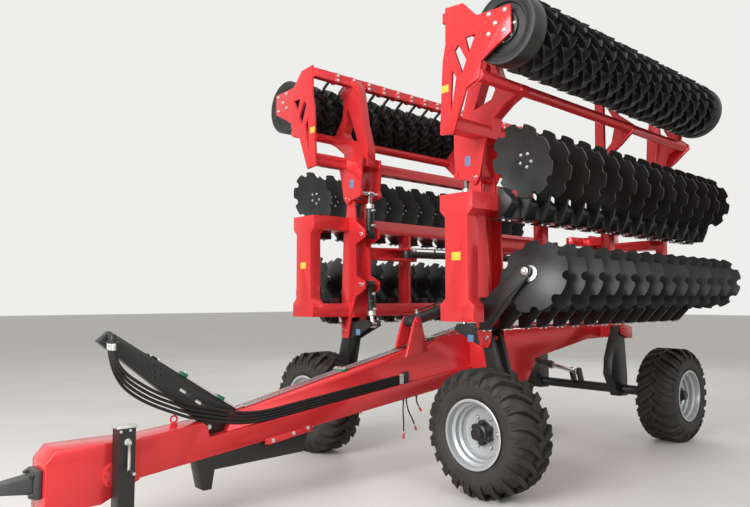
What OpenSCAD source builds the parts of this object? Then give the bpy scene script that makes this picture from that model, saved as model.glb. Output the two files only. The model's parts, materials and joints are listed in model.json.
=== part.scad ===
// Folding disc harrow for a tractor, standing in its transport fold.
// X points forwards to the hitch, Y to the left, Z up, in millimetres. The floor is Z = 0.
// Each wing is folded forwards beside the drawbar, with its tools facing outwards.

/* [Whole machine] */
// Front face of the drawbar's head, from the frame's reference section
head_front_x = 5960; // [5900:5:6000]
// Front face of a folded wing's end box
wing_tip_x = 3435; // [3300:5:3600]
// Length of a folded wing
wing_len = 3600; // [3550:5:3700]

/* [Wheels] */
// Outer diameter of every tyre, over its lugs
tyre_d = 930; // [900:2:940]
// Width of every tyre
tyre_w = 380; // [340:2:400]
// Diameter of every rim, where the tyre sits
rim_d = 480; // [440:2:500]
// Rear axle's place along the machine
axle_x = 229; // [215:1:245]
// Middle of a rear wheel, from the machine's middle plane
axle_wheel_y = 1057; // [1040:1:1070]
// Distance from the wing column's front face to the middle of its wheel
wheel_ahead = 179; // [172:1:190]
// Axis of a wing wheel, from the machine's middle plane
wing_wheel_y = 1012; // [1000:1:1030]
// Diameter of the rear axle's tube
axle_tube_d = 100; // [80:1:120]

/* [Discs] */
// Diameter of a disc
disc_d = 550; // [500:2:560]
// Thickness of a disc's plate
disc_t = 6; // [5:0.5:8]
// Depth of a disc's dish
disc_dish = 52; // [40:1:60]
// Distance between discs
disc_pitch = 250; // [245:1:255]
// Angle between a disc and its direction of travel
disc_steer = 16; // [12:1:18]

/* [Wing] */
// Height of the lower, leading row's beam
row_low_z = 1330; // [1325:1:1340]
// Height of the upper, trailing row's beam
row_high_z = 2155; // [2145:1:2165]
// Inner face of the wing's frame, from the middle plane
wing_in_y = 782; // [776:1:790]
// Outer face of the wing's frame
wing_out_y = 1094; // [1086:1:1100]

/* [Roller] */
// Outer diameter of the roller, over its lugs
roller_d = 544; // [530:2:560]
// Diameter of the roller's drum
drum_d = 430; // [400:2:450]
// Lugs around the roller
roller_lugs = 20; // [16:1:22]
// Inner end of the roller, from the frame's reference section
roller_end_x = 110; // [100:5:140]
// Axis of the roller, from the middle plane
roller_y = 1340; // [1330:1:1350]
// Height of the roller's axis
roller_z = 3355; // [3345:1:3365]

/* [Drawbar] */
// Width of the drawbar's lower beam
drawbar_w = 200; // [180:2:220]
// Width of the drawbar's upper box
drawbar_top_w = 150; // [130:2:160]
// Radius of the hitch eye's hole
eye_r = 25.5; // [25:0.1:30]

/* [Hidden] */

red = "#c8242b";
black = "#1b1c1e";
steel = "#c9ccd0";
rubber = "#2a2a2b";
grey = "#4b4d50";

pin_d = 50;
rod_pin_d = 36;
fit_gap = 0.05;
seat_gap = 0.3;
side_gap = 8;

// Heights and places that follow from the sizes above
wheel_z = tyre_d / 2;
tip_plate = 120;
wing_end_x = wing_tip_x - wing_len;

// Axes of the joints
tilt_x = -360;
tilt_z = 1220;
fold_x = -80;
fold_y = 245;
axle_pivot_x = 250;
axle_pivot_z = 1100;
arm_pivot_y = 849;
arm_pivot_z = 1129;
depth_pivot_y = 775;
depth_pivot_z = 2390;

// The machine's ends, and its middle, where the origin is
eye_flange_t = 40;
eye_len = 260;
eye_d = 130;
eye_t = 60;
eye_z = 400;
eye_x = head_front_x + seat_gap + eye_flange_t + eye_len;
tilt_lug_r = 70;
centre_x = (eye_x + eye_d / 2 + tilt_x - tilt_lug_r) / 2;

// Places one shape at its machine position
module machine() { translate([-centre_x, 0, 0]) children(); }

// Left side as drawn, right side mirrored
module side(s) { machine() mirror([0, s < 0 ? 1 : 0, 0]) children(); }

// Plate in the YZ plane, from x0 forwards
module plate_yz(x0, t, pts) {
    translate([x0, 0, 0]) rotate([90, 0, 90]) linear_extrude(t) polygon(pts);
}

// Plate in the XZ plane, from y0 to the left
module plate_xz(y0, t, pts) {
    translate([0, y0 + t, 0]) rotate([90, 0, 0]) linear_extrude(t) polygon(pts);
}

// Plate in the XY plane, from z0 upwards
module plate_xy(z0, t, pts) { translate([0, 0, z0]) linear_extrude(t) polygon(pts); }

// Turns +Z to point from p to q
module along(p, q) {
    d = q - p;
    l = norm(d);
    translate(p) rotate([0, acos(d[2] / l), atan2(d[1], d[0])]) children();
}

// Round bar from p to q
module round_bar(p, q, d) { along(p, q) cylinder(h = norm(q - p), d = d, $fn = 48); }

// Cylinder whose axis points along +X, +Y or +Z
module rod_x(x0, y, z, l, d) { translate([x0, y, z]) rotate([0, 90, 0]) cylinder(h = l, d = d, $fn = 64); }
module rod_y(x, y0, z, l, d) { translate([x, y0, z]) rotate([-90, 0, 0]) cylinder(h = l, d = d, $fn = 64); }

// Drawbar: a lower beam that rises to the rear, with a tapered box on top
beam_front_x = 5420;
beam_rear_x = 2250;
ledge_h = 130;
function beam_bottom(x) = 345 + (beam_front_x - x) * 0.109;
function ledge_top(x) = beam_bottom(x) + ledge_h;
head_w = 250;
head_low_z = 240;
head_top_z = 590;
jack_x = 5545;
tilt_base_x = 2950;
tilt_base_z = 1240;
tilt_lug_y = 73;
tilt_lug_t = 24;

module drawbar() {
    color(red) {
        plate_xz(-drawbar_w / 2, drawbar_w, [
            [beam_front_x, beam_bottom(beam_front_x)], [beam_front_x, 585], [4990, 625], [4960, 600],
            [4940, ledge_top(4940)], [beam_rear_x, ledge_top(beam_rear_x)],
            [beam_rear_x, beam_bottom(beam_rear_x)]]);
        plate_xz(-drawbar_top_w / 2, drawbar_top_w, [
            [4800, 540], [4760, 655], [2650, 1095], [beam_rear_x, 1130], [beam_rear_x, 800], [2600, 740]]);
        plate_xz(-head_w / 2, head_w, [
            [head_front_x, head_low_z], [head_front_x, head_top_z - 70], [head_front_x - 60, head_top_z],
            [5650, head_top_z], [beam_front_x, 585], [beam_front_x, 345], [5650, head_low_z]]);
        for (s = [-1, 1]) plate_xz(s * tilt_lug_y - tilt_lug_t / 2, tilt_lug_t, [
            [tilt_base_x + 150, 940], [tilt_base_x + 45, tilt_base_z], [tilt_base_x + 20, tilt_base_z + 42],
            [tilt_base_x - 20, tilt_base_z + 42], [tilt_base_x - 45, tilt_base_z], [tilt_base_x - 120, 980]]);
    }
    color(steel) rod_y(tilt_base_x, -tilt_lug_y - tilt_lug_t, tilt_base_z, 2 * (tilt_lug_y + tilt_lug_t), pin_d);
}

module hitch_eye() {
    color(grey) difference() {
        union() {
            plate_yz(head_front_x + seat_gap, eye_flange_t, [[-80, 320], [80, 320], [80, 480], [-80, 480]]);
            translate([head_front_x + eye_flange_t, -40, eye_z - 40]) cube([eye_len - 50, 80, 80]);
            translate([eye_x, 0, eye_z - eye_t / 2]) cylinder(h = eye_t, d = eye_d, $fn = 96);
        }
        translate([eye_x, 0, eye_z - eye_t]) cylinder(h = 2 * eye_t, r = eye_r, $fn = 96);
    }
}

module jack_body() {
    color(black) difference() {
        union() {
            translate([jack_x - 50, head_w / 2 + seat_gap, 180]) cube([100, 100, 500]);
            translate([jack_x - 60, head_w / 2 + seat_gap, 680]) cube([120, 100, 12]);
        }
        translate([jack_x - 42, head_w / 2 + seat_gap + 8, 100]) cube([84, 84, 560]);
    }
    color(steel) {
        rod_y(jack_x, head_w / 2 + 100 + seat_gap, 600, 40, 20);
        translate([jack_x, head_w / 2 + 130, 430]) cylinder(h = 178, d = 18, $fn = 32);
    }
}

module jack_leg() {
    foot_t = 12;
    color(steel) {
        translate([jack_x - 41.5, head_w / 2 + seat_gap + 8.5, foot_t]) cube([83, 83, 480]);
        translate([jack_x - 90, head_w / 2 - 40, 0]) cube([180, 180, foot_t]);
    }
}

// Holder that carries the hoses' ends, and the pipes that run over it and along the drawbar
holder_w = 60;
holder_foot_x = 4700;
holder_foot_z = 667.5;
holder_top_x = 5590;
holder_top_z = 1240;
holder_slope = atan2(holder_top_z - holder_foot_z, holder_top_x - holder_foot_x);
rack_z = 1172;
rack_t = 8;
rack_x = 5600;
hose_d = 20;
hose_side_y = drawbar_top_w / 2 + hose_d / 2 + seat_gap;
hose_gap_y = 25;
hose_rack_y = 45;
gland_x = 3080;
gland_l = 60;
gland_top_z = 822;
tail_d = 12;
socket_d = 20;

module hose_holder() {
    hole_d = 22;
    color(black) difference() {
        union() {
            translate([0, 0, seat_gap]) plate_xz(-holder_w / 2, holder_w, [
                [holder_foot_x, holder_foot_z], [4760, 655], [4803, 543], [4936, 529], [4956, 603], [4985, 625],
                [5660, 1180], [holder_top_x, holder_top_z]]);
            translate([rack_x - 35, -holder_w / 2, rack_z])
                cube([70, holder_w / 2 + hose_rack_y + 4 * hose_gap_y, rack_t]);
            for (k = [0:3]) translate([rack_x, hose_rack_y + k * hose_gap_y, rack_z + rack_t - 1])
                cylinder(h = 46, d = 22, $fn = 32);
        }
        // Six round holes and two slots through the sides
        translate([holder_foot_x, 0, holder_foot_z]) rotate([0, -holder_slope, 0]) {
            for (c = [[650, -38], [700, -38], [625, -70], [675, -70], [725, -70], [650, -100]])
                translate([c[0], -holder_w, c[1]]) rotate([-90, 0, 0]) cylinder(h = 2 * holder_w, d = hole_d, $fn = 32);
            for (c = [[380, -75], [240, -85]])
                translate([c[0], -holder_w, c[1] - hole_d / 2]) cube([75, 2 * holder_w, hole_d]);
        }
    }
    // Block on the drawbar's side that the four hoses run into, and the sockets of the hanging ones
    color(black) plate_xz(drawbar_top_w / 2 + seat_gap, hose_d + 4, [
        [gland_x, ledge_top(gland_x) + seat_gap], [gland_x + gland_l, ledge_top(gland_x + gland_l) + seat_gap],
        [gland_x + gland_l, gland_top_z], [gland_x, gland_top_z]]);
    color(black) for (p = tail_points) {
        foot = p[0] + [0, 0, seat_gap];
        top_z = beam_bottom(foot[0] + socket_d / 2) - seat_gap;
        translate(foot) cylinder(h = top_z - foot[2], d = socket_d, $fn = 32);
    }
}

module pipes() {
    pipe_d = 15;
    low_y = 35;
    high_y = 20;
    corner_x = 4705;
    upper_x = 5280;
    low_ball_d = 15.8;
    high_ball_d = 16.6;
    rest = (pipe_d / 2 + 4 * seat_gap) / cos(holder_slope);
    function edge_z(x) = holder_foot_z + (x - holder_foot_x) * tan(holder_slope) + rest;
    color(steel) for (k = [-1:1]) {
        bend = [4640, k * low_y, 688.3];
        round_bar(bend, [2320, k * low_y, 1172], pipe_d);
        corner = [corner_x, k * high_y, edge_z(corner_x)];
        translate(bend) sphere(d = low_ball_d, $fn = 32);
        round_bar(bend, corner, pipe_d);
        translate(corner) sphere(d = high_ball_d, $fn = 32);
        round_bar(corner, [upper_x, k * high_y, edge_z(upper_x)], pipe_d);
    }
}

// Hoses: each route is a list of [x, y, z], smoothed and swept with eight sides
hose_route = [
    [5600, 1171], [5598, 1130], [5585, 1060], [5560, 985], [5510, 905], [5430, 835], [5320, 770], [5190, 712],
    [5070, 665], [4960, 638], [4850, 614], [4730, 594], [4600, 585], [4450, 591.5], [4208, 617.6], [3960, 644.6],
    [3727, 670], [3407, 705], [3260, 721], [3141.5, 734]];
// Share of the spread at the rack, and height of one hose over the next, at each point of the route
hose_fan = [1, 1, 1, 1, 1, 1, 0.9, 0.7, 0.45, 0.2, 0, 0, 0, 0, 0, 0, 0, 0, 0, 0];
hose_rise = [0, 1, 8, 16, 24, 28, 28, 28, 28, 27, 25, 23, 21.5, 20.5, 20.5, 20.5, 20.5, 20.5, 20.5, 20.5];
function hose_points(n) = [for (i = [0:len(hose_route) - 1]) [
    hose_route[i][0],
    hose_side_y + hose_fan[i] * (hose_rack_y + n * hose_gap_y - hose_side_y),
    hose_route[i][1] + n * hose_rise[i]]];
tail_points = [
    [[3100, 50, 575], [3100, 50.5, 560], [3101, 50.5, 540], [3103, 51, 520], [3105, 51.5, 500],
        [3105, 52, 480], [3104, 52, 460], [3103, 52.5, 440], [3101, 53, 420], [3100, 53, 400],
        [3100, 53.5, 380], [3101, 54, 360], [3102, 54.5, 340], [3103, 54.5, 320], [3104, 55, 300]],
    [[3044, 30, 580], [3044, 30.5, 565], [3042, 31, 548], [3039, 31.5, 530], [3034, 32.5, 512],
        [3028, 33, 494], [3021, 33.5, 476], [3012, 34, 460], [3002, 34.5, 444], [2992, 35, 428],
        [2982, 35.5, 412], [2973, 36.5, 396], [2965, 37, 380], [2957, 37.5, 362], [2950, 38, 345]],
    [[2952, 60, 590], [2952, 60, 583], [2951.5, 60, 576], [2950.5, 60, 569], [2949, 60, 562],
        [2947, 60, 555], [2945, 60, 549], [2942.5, 60, 543], [2939.5, 60, 537], [2936, 60, 531],
        [2932, 60, 525], [2928, 60, 519], [2924, 60, 513], [2920, 60, 507], [2916, 60, 501]]];

// Point of a smooth curve through the points p, at place t
function curve_at(p, t) =
    let (
        n = len(p) - 1,
        i = min(floor(t), n - 1),
        u = t - i,
        a = i == 0 ? 2 * p[0] - p[1] : p[i - 1],
        b = p[i],
        c = p[i + 1],
        d = i == n - 1 ? 2 * p[n] - p[n - 1] : p[i + 2])
    0.5 * (2 * b + (c - a) * u + (2 * a - 5 * b + 4 * c - d) * u * u + (3 * b - a - 3 * c + d) * u * u * u);

// Tube of eight sides along a smooth curve through the points p
module tube(p, d, steps) {
    sides = 8;
    n = (len(p) - 1) * steps;
    path = [for (k = [0:n]) curve_at(p, k / steps)];
    ring = [for (k = [0:n])
        let (
            f = path[min(k + 1, n)] - path[max(k - 1, 0)],
            fwd = f / norm(f),
            side = cross([0, 1, 0], fwd),
            u = side / norm(side),
            v = cross(fwd, u))
        [for (j = [0:sides - 1]) path[k] + d / 2 * (cos(360 * j / sides) * u + sin(360 * j / sides) * v)]];
    points = [for (r = ring) for (q = r) q];
    faces = concat(
        [[for (j = [0:sides - 1]) j]],
        [for (k = [0:n - 1]) for (j = [0:sides - 1])
            let (a = k * sides + j, b = k * sides + (j + 1) % sides) [a, a + sides, b + sides, b]],
        [[for (j = [sides - 1:-1:0]) n * sides + j]]);
    color(rubber) polyhedron(points, faces);
}

module hose_caps() {
    color(red) for (p = tail_points) {
        a = p[len(p) - 2];
        b = p[len(p) - 1];
        dir = (b - a) / norm(b - a);
        round_bar(b + dir * seat_gap, b + dir * 42, socket_d);
    }
}

module tool_stand() {
    stand_w = 120;
    color(black) plate_xz(-stand_w / 2, stand_w, [
        [4960, 175], [5010, beam_bottom(5010) - seat_gap], [4100, beam_bottom(4100) - seat_gap], [4150, 310], [4880, 300], [4900, 175]]);
}

// Main frame: post, two tapered beams and the cross members that carry the axle and the tilt frame
frame_half_w = 250;
beam_t = 90;
lug_t = 20;
axle_arm_y = 495;
axle_arm_t = 100;
tilt_pin_d = 60;
mast_y = 80;
mast_t = 30;
ram_base_x = 1350;
ram_base_z = 850;
ram_lug_y = 58;
cross_x = 70;
cross_z = 1010;

module main_frame() {
    cross_w = 100;
    arm_side = axle_arm_t / 2 + side_gap;
    color(red) {
        plate_xz(-frame_half_w, 2 * frame_half_w, [
            [beam_rear_x, 790], [beam_rear_x, 1130], [1600, 1150], [1450, 1150], [1450, 800], [1600, 620],
            [1750, 640]]);
        for (s = [-1, 1]) plate_xz(s * (frame_half_w - beam_t / 2) - beam_t / 2, beam_t, [
            [1600, 830], [1600, 1150], [-250, 1160], [-250, 1010], [350, 1000], [450, 1000]]);
        translate([cross_x, -axle_arm_y - arm_side - lug_t, cross_z])
            cube([cross_w, 2 * (axle_arm_y + arm_side + lug_t), 120]);
    }
    // Lugs of the axle arms
    color(red) for (y = [axle_arm_y - arm_side - lug_t, axle_arm_y + arm_side]) for (s = [-1, 1])
        plate_xz(s > 0 ? y : -y - lug_t, lug_t, [
            [cross_x, cross_z], [cross_x, cross_z + 120], [axle_pivot_x - 40, 1160], [axle_pivot_x + 40, 1160],
            [axle_pivot_x + 60, 1130], [axle_pivot_x + 50, 1060], [axle_pivot_x, 1040]]);
    // Lugs that carry the tilt frame's pin
    color(red) difference() {
        for (s = [-1, 1]) plate_xz(s * (frame_half_w - beam_t / 2) - beam_t / 2, beam_t, [
            [-150, 1010], [-150, 1160], [tilt_x + tilt_lug_r, 1285], [tilt_x - 50, 1285],
            [tilt_x - tilt_lug_r, 1265], [tilt_x - tilt_lug_r, 1180], [tilt_x, 1120], [-250, 1010]]);
        rod_y(tilt_x, -400, tilt_z, 800, tilt_pin_d);
    }
    // Lugs of the axle cylinder, with its pin
    color(red) for (s = [-1, 1]) plate_xz(s * ram_lug_y - 10, 20, [
        [ram_base_x + 160, 1000], [ram_base_x + 160, 810], [ram_base_x - 50, 790], [ram_base_x - 50, 900],
        [ram_base_x + 60, 1000]]);
    color(steel) rod_y(ram_base_x, -ram_lug_y - 18, ram_base_z, 2 * ram_lug_y + 36, rod_pin_d);
    color(steel) for (s = [-1, 1])
        rod_y(axle_pivot_x, s * axle_arm_y - arm_side - lug_t - 10, axle_pivot_z,
            2 * arm_side + 2 * lug_t + 20, pin_d);
}

// Rear axle: a tube on two arms, with a lever for its cylinder
axle_lever_x = 300;
axle_lever_z = 620;
hub_bore = 120;
module axle_frame() {
    stub_len = 270;
    stub_in = 160;
    lever_y = 45;
    color(black) difference() {
        union() {
            rod_y(axle_x, -axle_wheel_y, wheel_z, 2 * axle_wheel_y, axle_tube_d);
            for (s = [-1, 1]) rod_y(axle_x, s > 0 ? axle_wheel_y - stub_in : -axle_wheel_y + stub_in - stub_len,
                wheel_z, stub_len, hub_bore - 2 * fit_gap);
            for (s = [-1, 1]) plate_xz(s * axle_arm_y - axle_arm_t / 2, axle_arm_t, [
                [axle_pivot_x - 60, 1080], [axle_pivot_x - 40, 1145], [axle_pivot_x + 20, 1150],
                [axle_pivot_x + 60, 1110], [395, 960], [470, 800], [490, 640], [axle_x + 110, 400],
                [axle_x - 75, 390], [150, 610], [axle_pivot_x - 60, 990]]);
            for (s = [-1, 1]) plate_xz(s * lever_y - 10, 20, [
                [axle_x - 40, wheel_z], [axle_x + 50, wheel_z], [axle_lever_x + 45, axle_lever_z],
                [axle_lever_x + 20, axle_lever_z + 45], [axle_lever_x - 40, axle_lever_z + 40]]);
        }
        for (s = [-1, 1])
            rod_y(axle_pivot_x, s * axle_arm_y - axle_arm_t, axle_pivot_z, 2 * axle_arm_t, pin_d + 2 * fit_gap);
    }
}

// A tyre about the Y axis, its middle at the origin. Two rings of lugs stand half a step apart.
tyre_lugs = 22;
lug_h = 28;
module tyre() {
    shoulder_r = 40;
    shoulder_y = 45;
    step = 360 / tyre_lugs;
    root_r = tyre_d / 2 - lug_h;
    color(rubber) rotate([90, 0, 0]) difference() {
        union() {
            for (s = [-1, 1]) rotate([0, 0, s > 0 ? 0 : step / 2]) mirror([0, 0, s < 0 ? 1 : 0]) {
                linear_extrude(tyre_w / 2 - shoulder_y) polygon([for (k = [0:tyre_lugs - 1])
                    for (c = [[-0.25, root_r], [-0.2, tyre_d / 2], [0.2, tyre_d / 2], [0.25, root_r]])
                    c[1] * [cos((k + c[0]) * step), sin((k + c[0]) * step)]]);
                translate([0, 0, tyre_w / 2 - shoulder_y]) linear_extrude(shoulder_y, scale = (root_r - shoulder_r) / root_r)
                    polygon([for (k = [0:2 * tyre_lugs - 1]) root_r * [cos((k + 0.5) * step / 2), sin((k + 0.5) * step / 2)]]);
            }
        }
        cylinder(h = 2 * tyre_w, r = rim_d / 2 + seat_gap, center = true, $fn = 96);
    }
}

// A rim about the Y axis, its disc towards +Y
module rim() {
    lip = 12;
    disc_y = 40;
    disc_t2 = 20;
    color(steel) rotate([-90, 0, 0]) rotate_extrude($fn = 96) polygon([
        [hub_bore / 2, disc_y + disc_t2], [hub_bore / 2, disc_y], [200, disc_y],
        [rim_d / 2 - 25, -tyre_w / 2 + 40], [rim_d / 2, -tyre_w / 2 + lip], [rim_d / 2, tyre_w / 2 - lip],
        [rim_d / 2 - lip, tyre_w / 2 - lip], [rim_d / 2 - 15, disc_y + disc_t2]]);
}

module rear_wheel(s) {
    machine() translate([axle_x, s * axle_wheel_y, wheel_z]) mirror([0, s < 0 ? 1 : 0, 0]) children();
}
module wing_wheel() { translate([col_front_x + wheel_ahead, wing_wheel_y, wheel_z]) rotate([0, 0, -90]) children(); }

// Tilt frame: it turns about a pin at the rear, and carries both wings on upright pins
hinge_low_z = 1330;
hinge_high_z = 2080;
hinge_t = 100;
tilt_top_x = -250;
tilt_top_z = 2000;
ram_eye_x = 100;
ram_eye_y = 120;
ram_z = 1880;
module tilt_frame() {
    inner = frame_half_w - beam_t - side_gap;
    block_x = tilt_x + 30;
    color(red) {
        rod_y(tilt_x, -inner, tilt_z, 2 * inner, 90);
        for (s = [-1, 1]) plate_xz(s * mast_y - mast_t / 2, mast_t, [
            [tilt_x - 50, 1190], [tilt_x + 50, 1190], [tilt_x + 150, 1400], [tilt_x + 150, 2200],
            [tilt_x + 20, 2200]]);
        plate_xz(-mast_y, 2 * mast_y, [
            [tilt_x - 45, 1300], [tilt_x - 25, 1300], [tilt_x + 40, 2180], [tilt_x + 20, 2180]]);
        translate([block_x, -mast_y, hinge_high_z]) cube([120, 2 * mast_y, hinge_t]);
        for (z = [hinge_low_z, hinge_high_z]) for (s = [-1, 1]) plate_xy(z, hinge_t, [
            [block_x, s * mast_y], [block_x + 120, s * mast_y], [block_x + 120, s * 210], [block_x, s * 210]]);
        difference() {
            for (s = [-1, 1]) for (z = [hinge_low_z, hinge_high_z]) plate_xy(z, hinge_t, [
                [tilt_x + 60, s * 150], [tilt_x + 60, s * fold_y], [fold_x - 30, s * 300], [fold_x + 30, s * 300],
                [fold_x + 55, s * fold_y], [fold_x + 30, s * 190]]);
            for (s = [-1, 1]) translate([fold_x, s * fold_y, 1000]) cylinder(h = 1500, d = pin_d, $fn = 64);
        }
        // Arms that hold the fold cylinders' rods
        for (s = [-1, 1]) for (z = [ram_z - 60, ram_z + 40]) plate_xy(z, 20, [
            [tilt_x + 140, s * 67], [tilt_x + 140, s * 150], [ram_eye_x + 10, s * 165],
            [ram_eye_x + 50, s * ram_eye_y], [ram_eye_x + 10, s * 75]]);
        for (s = [-1, 1]) for (z = [ram_z - 68, ram_z + 60])
            translate([ram_eye_x, s * ram_eye_y, z]) cylinder(h = 8, d = 50, $fn = 48);
    }
    color(steel) rod_y(tilt_x, -frame_half_w - 15, tilt_z, 2 * frame_half_w + 30, tilt_pin_d - 2 * fit_gap);
}

// Wing: two long beams between an end box and the hinge arms, with a column near the tip
beam_low_w = 118;
beam_h = 125;
low_face_y = wing_in_y + beam_low_w;
high_face_y = wing_out_y;
row_front_x = wing_tip_x - 355;
col_front_x = wing_tip_x - 435;
col_t = 20;
col_gap = 160;
col_rear_x = col_front_x - 2 * col_t - col_gap;
post_x = [wing_end_x, wing_tip_x - 2435, wing_tip_x - 1285];
ear_y = 600;
ear_low_z = 1570;
ear_high_z = 2050;
ram_base_wing_x = col_rear_x - 400;
ram_base_wing_y = 600;

module wing_frame() {
    beam_l = wing_len - tip_plate;
    arm_z = [hinge_low_z + hinge_t + 10, hinge_high_z - 10 - hinge_t];
    color(red) {
        // End box, wide at both beams and narrow between them
        plate_yz(wing_tip_x - tip_plate, tip_plate, [
            [wing_in_y, 1270], [wing_out_y, 1270], [wing_out_y, 1390], [wing_out_y - 50, 1440],
            [wing_out_y - 50, 2040], [wing_out_y, 2090], [wing_out_y, 2213], [wing_in_y, 2213],
            [wing_in_y, 2090], [wing_in_y + 50, 2040], [wing_in_y + 50, 1440], [wing_in_y, 1390]]);
        translate([wing_end_x, wing_in_y, row_low_z - beam_h / 2]) cube([beam_l, beam_low_w, beam_h]);
        translate([wing_end_x, wing_in_y, row_high_z - beam_h / 2]) cube([beam_l, wing_out_y - wing_in_y, beam_h]);
        // Column with two plates and a web
        difference() {
            for (x = [col_front_x - col_t, col_rear_x]) plate_yz(x, col_t, [
                [800, 1060], [880, 1060], [900, 1110], [900, 1300], [870, 2090], [830, 2250], [820, 2400],
                [790, 2430], [750, 2430], [720, 2400], [690, 2180], [ear_y - 40, 2090], [ear_y - 40, 2020],
                [690, 1960], [690, 1660], [ear_y - 40, 1600], [ear_y - 40, 1530], [690, 1460], [760, 1270]]);
            rod_x(2500, depth_pivot_y, depth_pivot_z, 1000, 40);
        }
        translate([col_rear_x + col_t, 740, 1260]) cube([col_gap, 42, 960]);
        // Posts between the two beams
        for (x = post_x) translate([x, wing_in_y + 10, 1390]) cube([90, 90, 705]);
        // Hinge arms to the fold axis
        for (z = arm_z) plate_xy(z, hinge_t, [
            [fold_x - 50, fold_y - 20], [fold_x, fold_y - 50], [fold_x + 50, fold_y - 20],
            [wing_end_x + 255, wing_in_y + 8], [wing_end_x + 90, wing_in_y + 90],
            [wing_end_x, wing_in_y + 90]]);
        // Channel that carries the fold cylinder, from a post to the column
        translate([post_x[2], wing_in_y - 80, ram_z - 60]) cube([col_rear_x + 5 - post_x[2], 100, 120]);
        for (z = [ram_z - 60, ram_z + 40]) plate_xy(z, 20, [
            [ram_base_wing_x - 40, ram_base_wing_y - 30], [ram_base_wing_x + 30, ram_base_wing_y - 30],
            [ram_base_wing_x + 330, 720], [ram_base_wing_x - 60, 720]]);
    }
    color(steel) {
        for (k = [0, 1]) translate([fold_x, fold_y, k == 0 ? hinge_low_z - 10 : arm_z[1]])
            cylinder(h = 2 * hinge_t + 20, d = pin_d - 2 * fit_gap, $fn = 64);
        rod_x(col_rear_x - 10, arm_pivot_y, arm_pivot_z, col_front_x - col_rear_x + 20, 40 - 2 * fit_gap);
        // Pins of the lift, depth and fold cylinders
        for (z = [ear_low_z, ear_high_z]) rod_x(col_rear_x - 8, ear_y, z, col_front_x - col_rear_x + 16, rod_pin_d);
        translate([ram_base_wing_x, ram_base_wing_y, ram_z - 68]) cylinder(h = 136, d = rod_pin_d, $fn = 48);
    }
}

// Disc rows: each disc hangs from its own clamp and arm
disc_low = [10, 1331, 1617];
disc_high = [-50, 1276, 2462];
disc_count = floor((row_front_x - wing_end_x + 10) / disc_pitch) + 1;
clamp_l = 100;
clamp_h = 117;
arm_t = 20;

// One clamp: a chevron against a beam's outer face
module clamp(y0, zc) {
    plate_yz(-clamp_l / 2, clamp_l, [
        [y0 + seat_gap, zc + clamp_h], [y0 + 20, zc + clamp_h], [y0 + clamp_h, zc + 15], [y0 + clamp_h, zc - 15],
        [y0 + 20, zc - clamp_h], [y0 + seat_gap, zc - clamp_h]]);
}

module disc_arms() {
    hub_d = 90;
    hub_l = 60;
    high_arm_x = 105;
    high_arm_t = 25;
    high_hub_l = 70;
    color(black) for (n = [0:disc_count - 1]) translate([row_front_x - n * disc_pitch, 0, 0]) {
        clamp(low_face_y, row_low_z);
        plate_yz(clamp_l / 2, arm_t, [
            [930, 1215], [970, 1330], [disc_low[1] - 55, disc_low[2] + 60], [disc_low[1], disc_low[2] + 40],
            [disc_low[1] + 35, disc_low[2] - 10], [disc_low[1] - 5, disc_low[2] - 60], [1010, 1215]]);
        translate(disc_low) rotate([0, -disc_steer, 4]) translate([seat_gap, 0, 0]) rotate([0, 90, 0])
            cylinder(h = hub_l, d = hub_d, $fn = 48);
        clamp(high_face_y, row_high_z);
        plate_yz(-high_arm_x - high_arm_t, high_arm_t, [
            [1120, 2045], [1210, 2045], [1260, 2160], [disc_high[1] + 50, disc_high[2] - 20],
            [disc_high[1] + 20, disc_high[2] + 40], [disc_high[1] - 40, disc_high[2] + 30],
            [disc_high[1] - 70, disc_high[2] - 50], [1150, 2200]]);
        plate_yz(-high_arm_x - 1, high_arm_x - clamp_l / 2 + 2, [[1110, 2045], [1190, 2045], [1190, 2140], [1110, 2140]]);
        translate(disc_high) rotate([0, disc_steer, -5]) translate([-seat_gap, 0, 0]) rotate([0, -90, 0])
            cylinder(h = high_hub_l, d = hub_d, $fn = 48);
    }
}

// A disc about the X axis, its dish opening towards -X
module disc() {
    notch_d = 60;
    notches = 9;
    flat_r = 60;
    rotate([0, 90, 0]) difference() {
        rotate_extrude($fn = 64) polygon([
            [0, 0], [flat_r, 0], [disc_d / 2, -disc_dish], [disc_d / 2, -disc_dish - disc_t], [flat_r, -disc_t],
            [0, -disc_t]]);
        for (k = [0:notches - 1]) rotate([0, 0, k * 360 / notches]) translate([disc_d / 2, 0, -disc_dish - 30])
            cylinder(h = 60, d = notch_d, $fn = 6);
    }
}

module discs() {
    color(grey) for (n = [0:disc_count - 1]) translate([row_front_x - n * disc_pitch, 0, 0]) {
        translate(disc_low) rotate([0, -disc_steer, 4]) disc();
        translate(disc_high) rotate([0, disc_steer, -5]) mirror([1, 0, 0]) disc();
    }
}

// Roller frame: it turns about a pin at the top of the wing's column
rod_eye_y = 600;
rod_eye_z = 2440;
roller_plate_t = 20;
roller_gap = 30;
roller_plate_x = [wing_tip_x - 35, roller_end_x - roller_gap - roller_plate_t];
top_beam_z = roller_z + 180;
tube_y = roller_y - 200;
tube_z = roller_z - 302;
arm_plate_t = 20;
fork_t = 100;
fork_in_y = 575;

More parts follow.
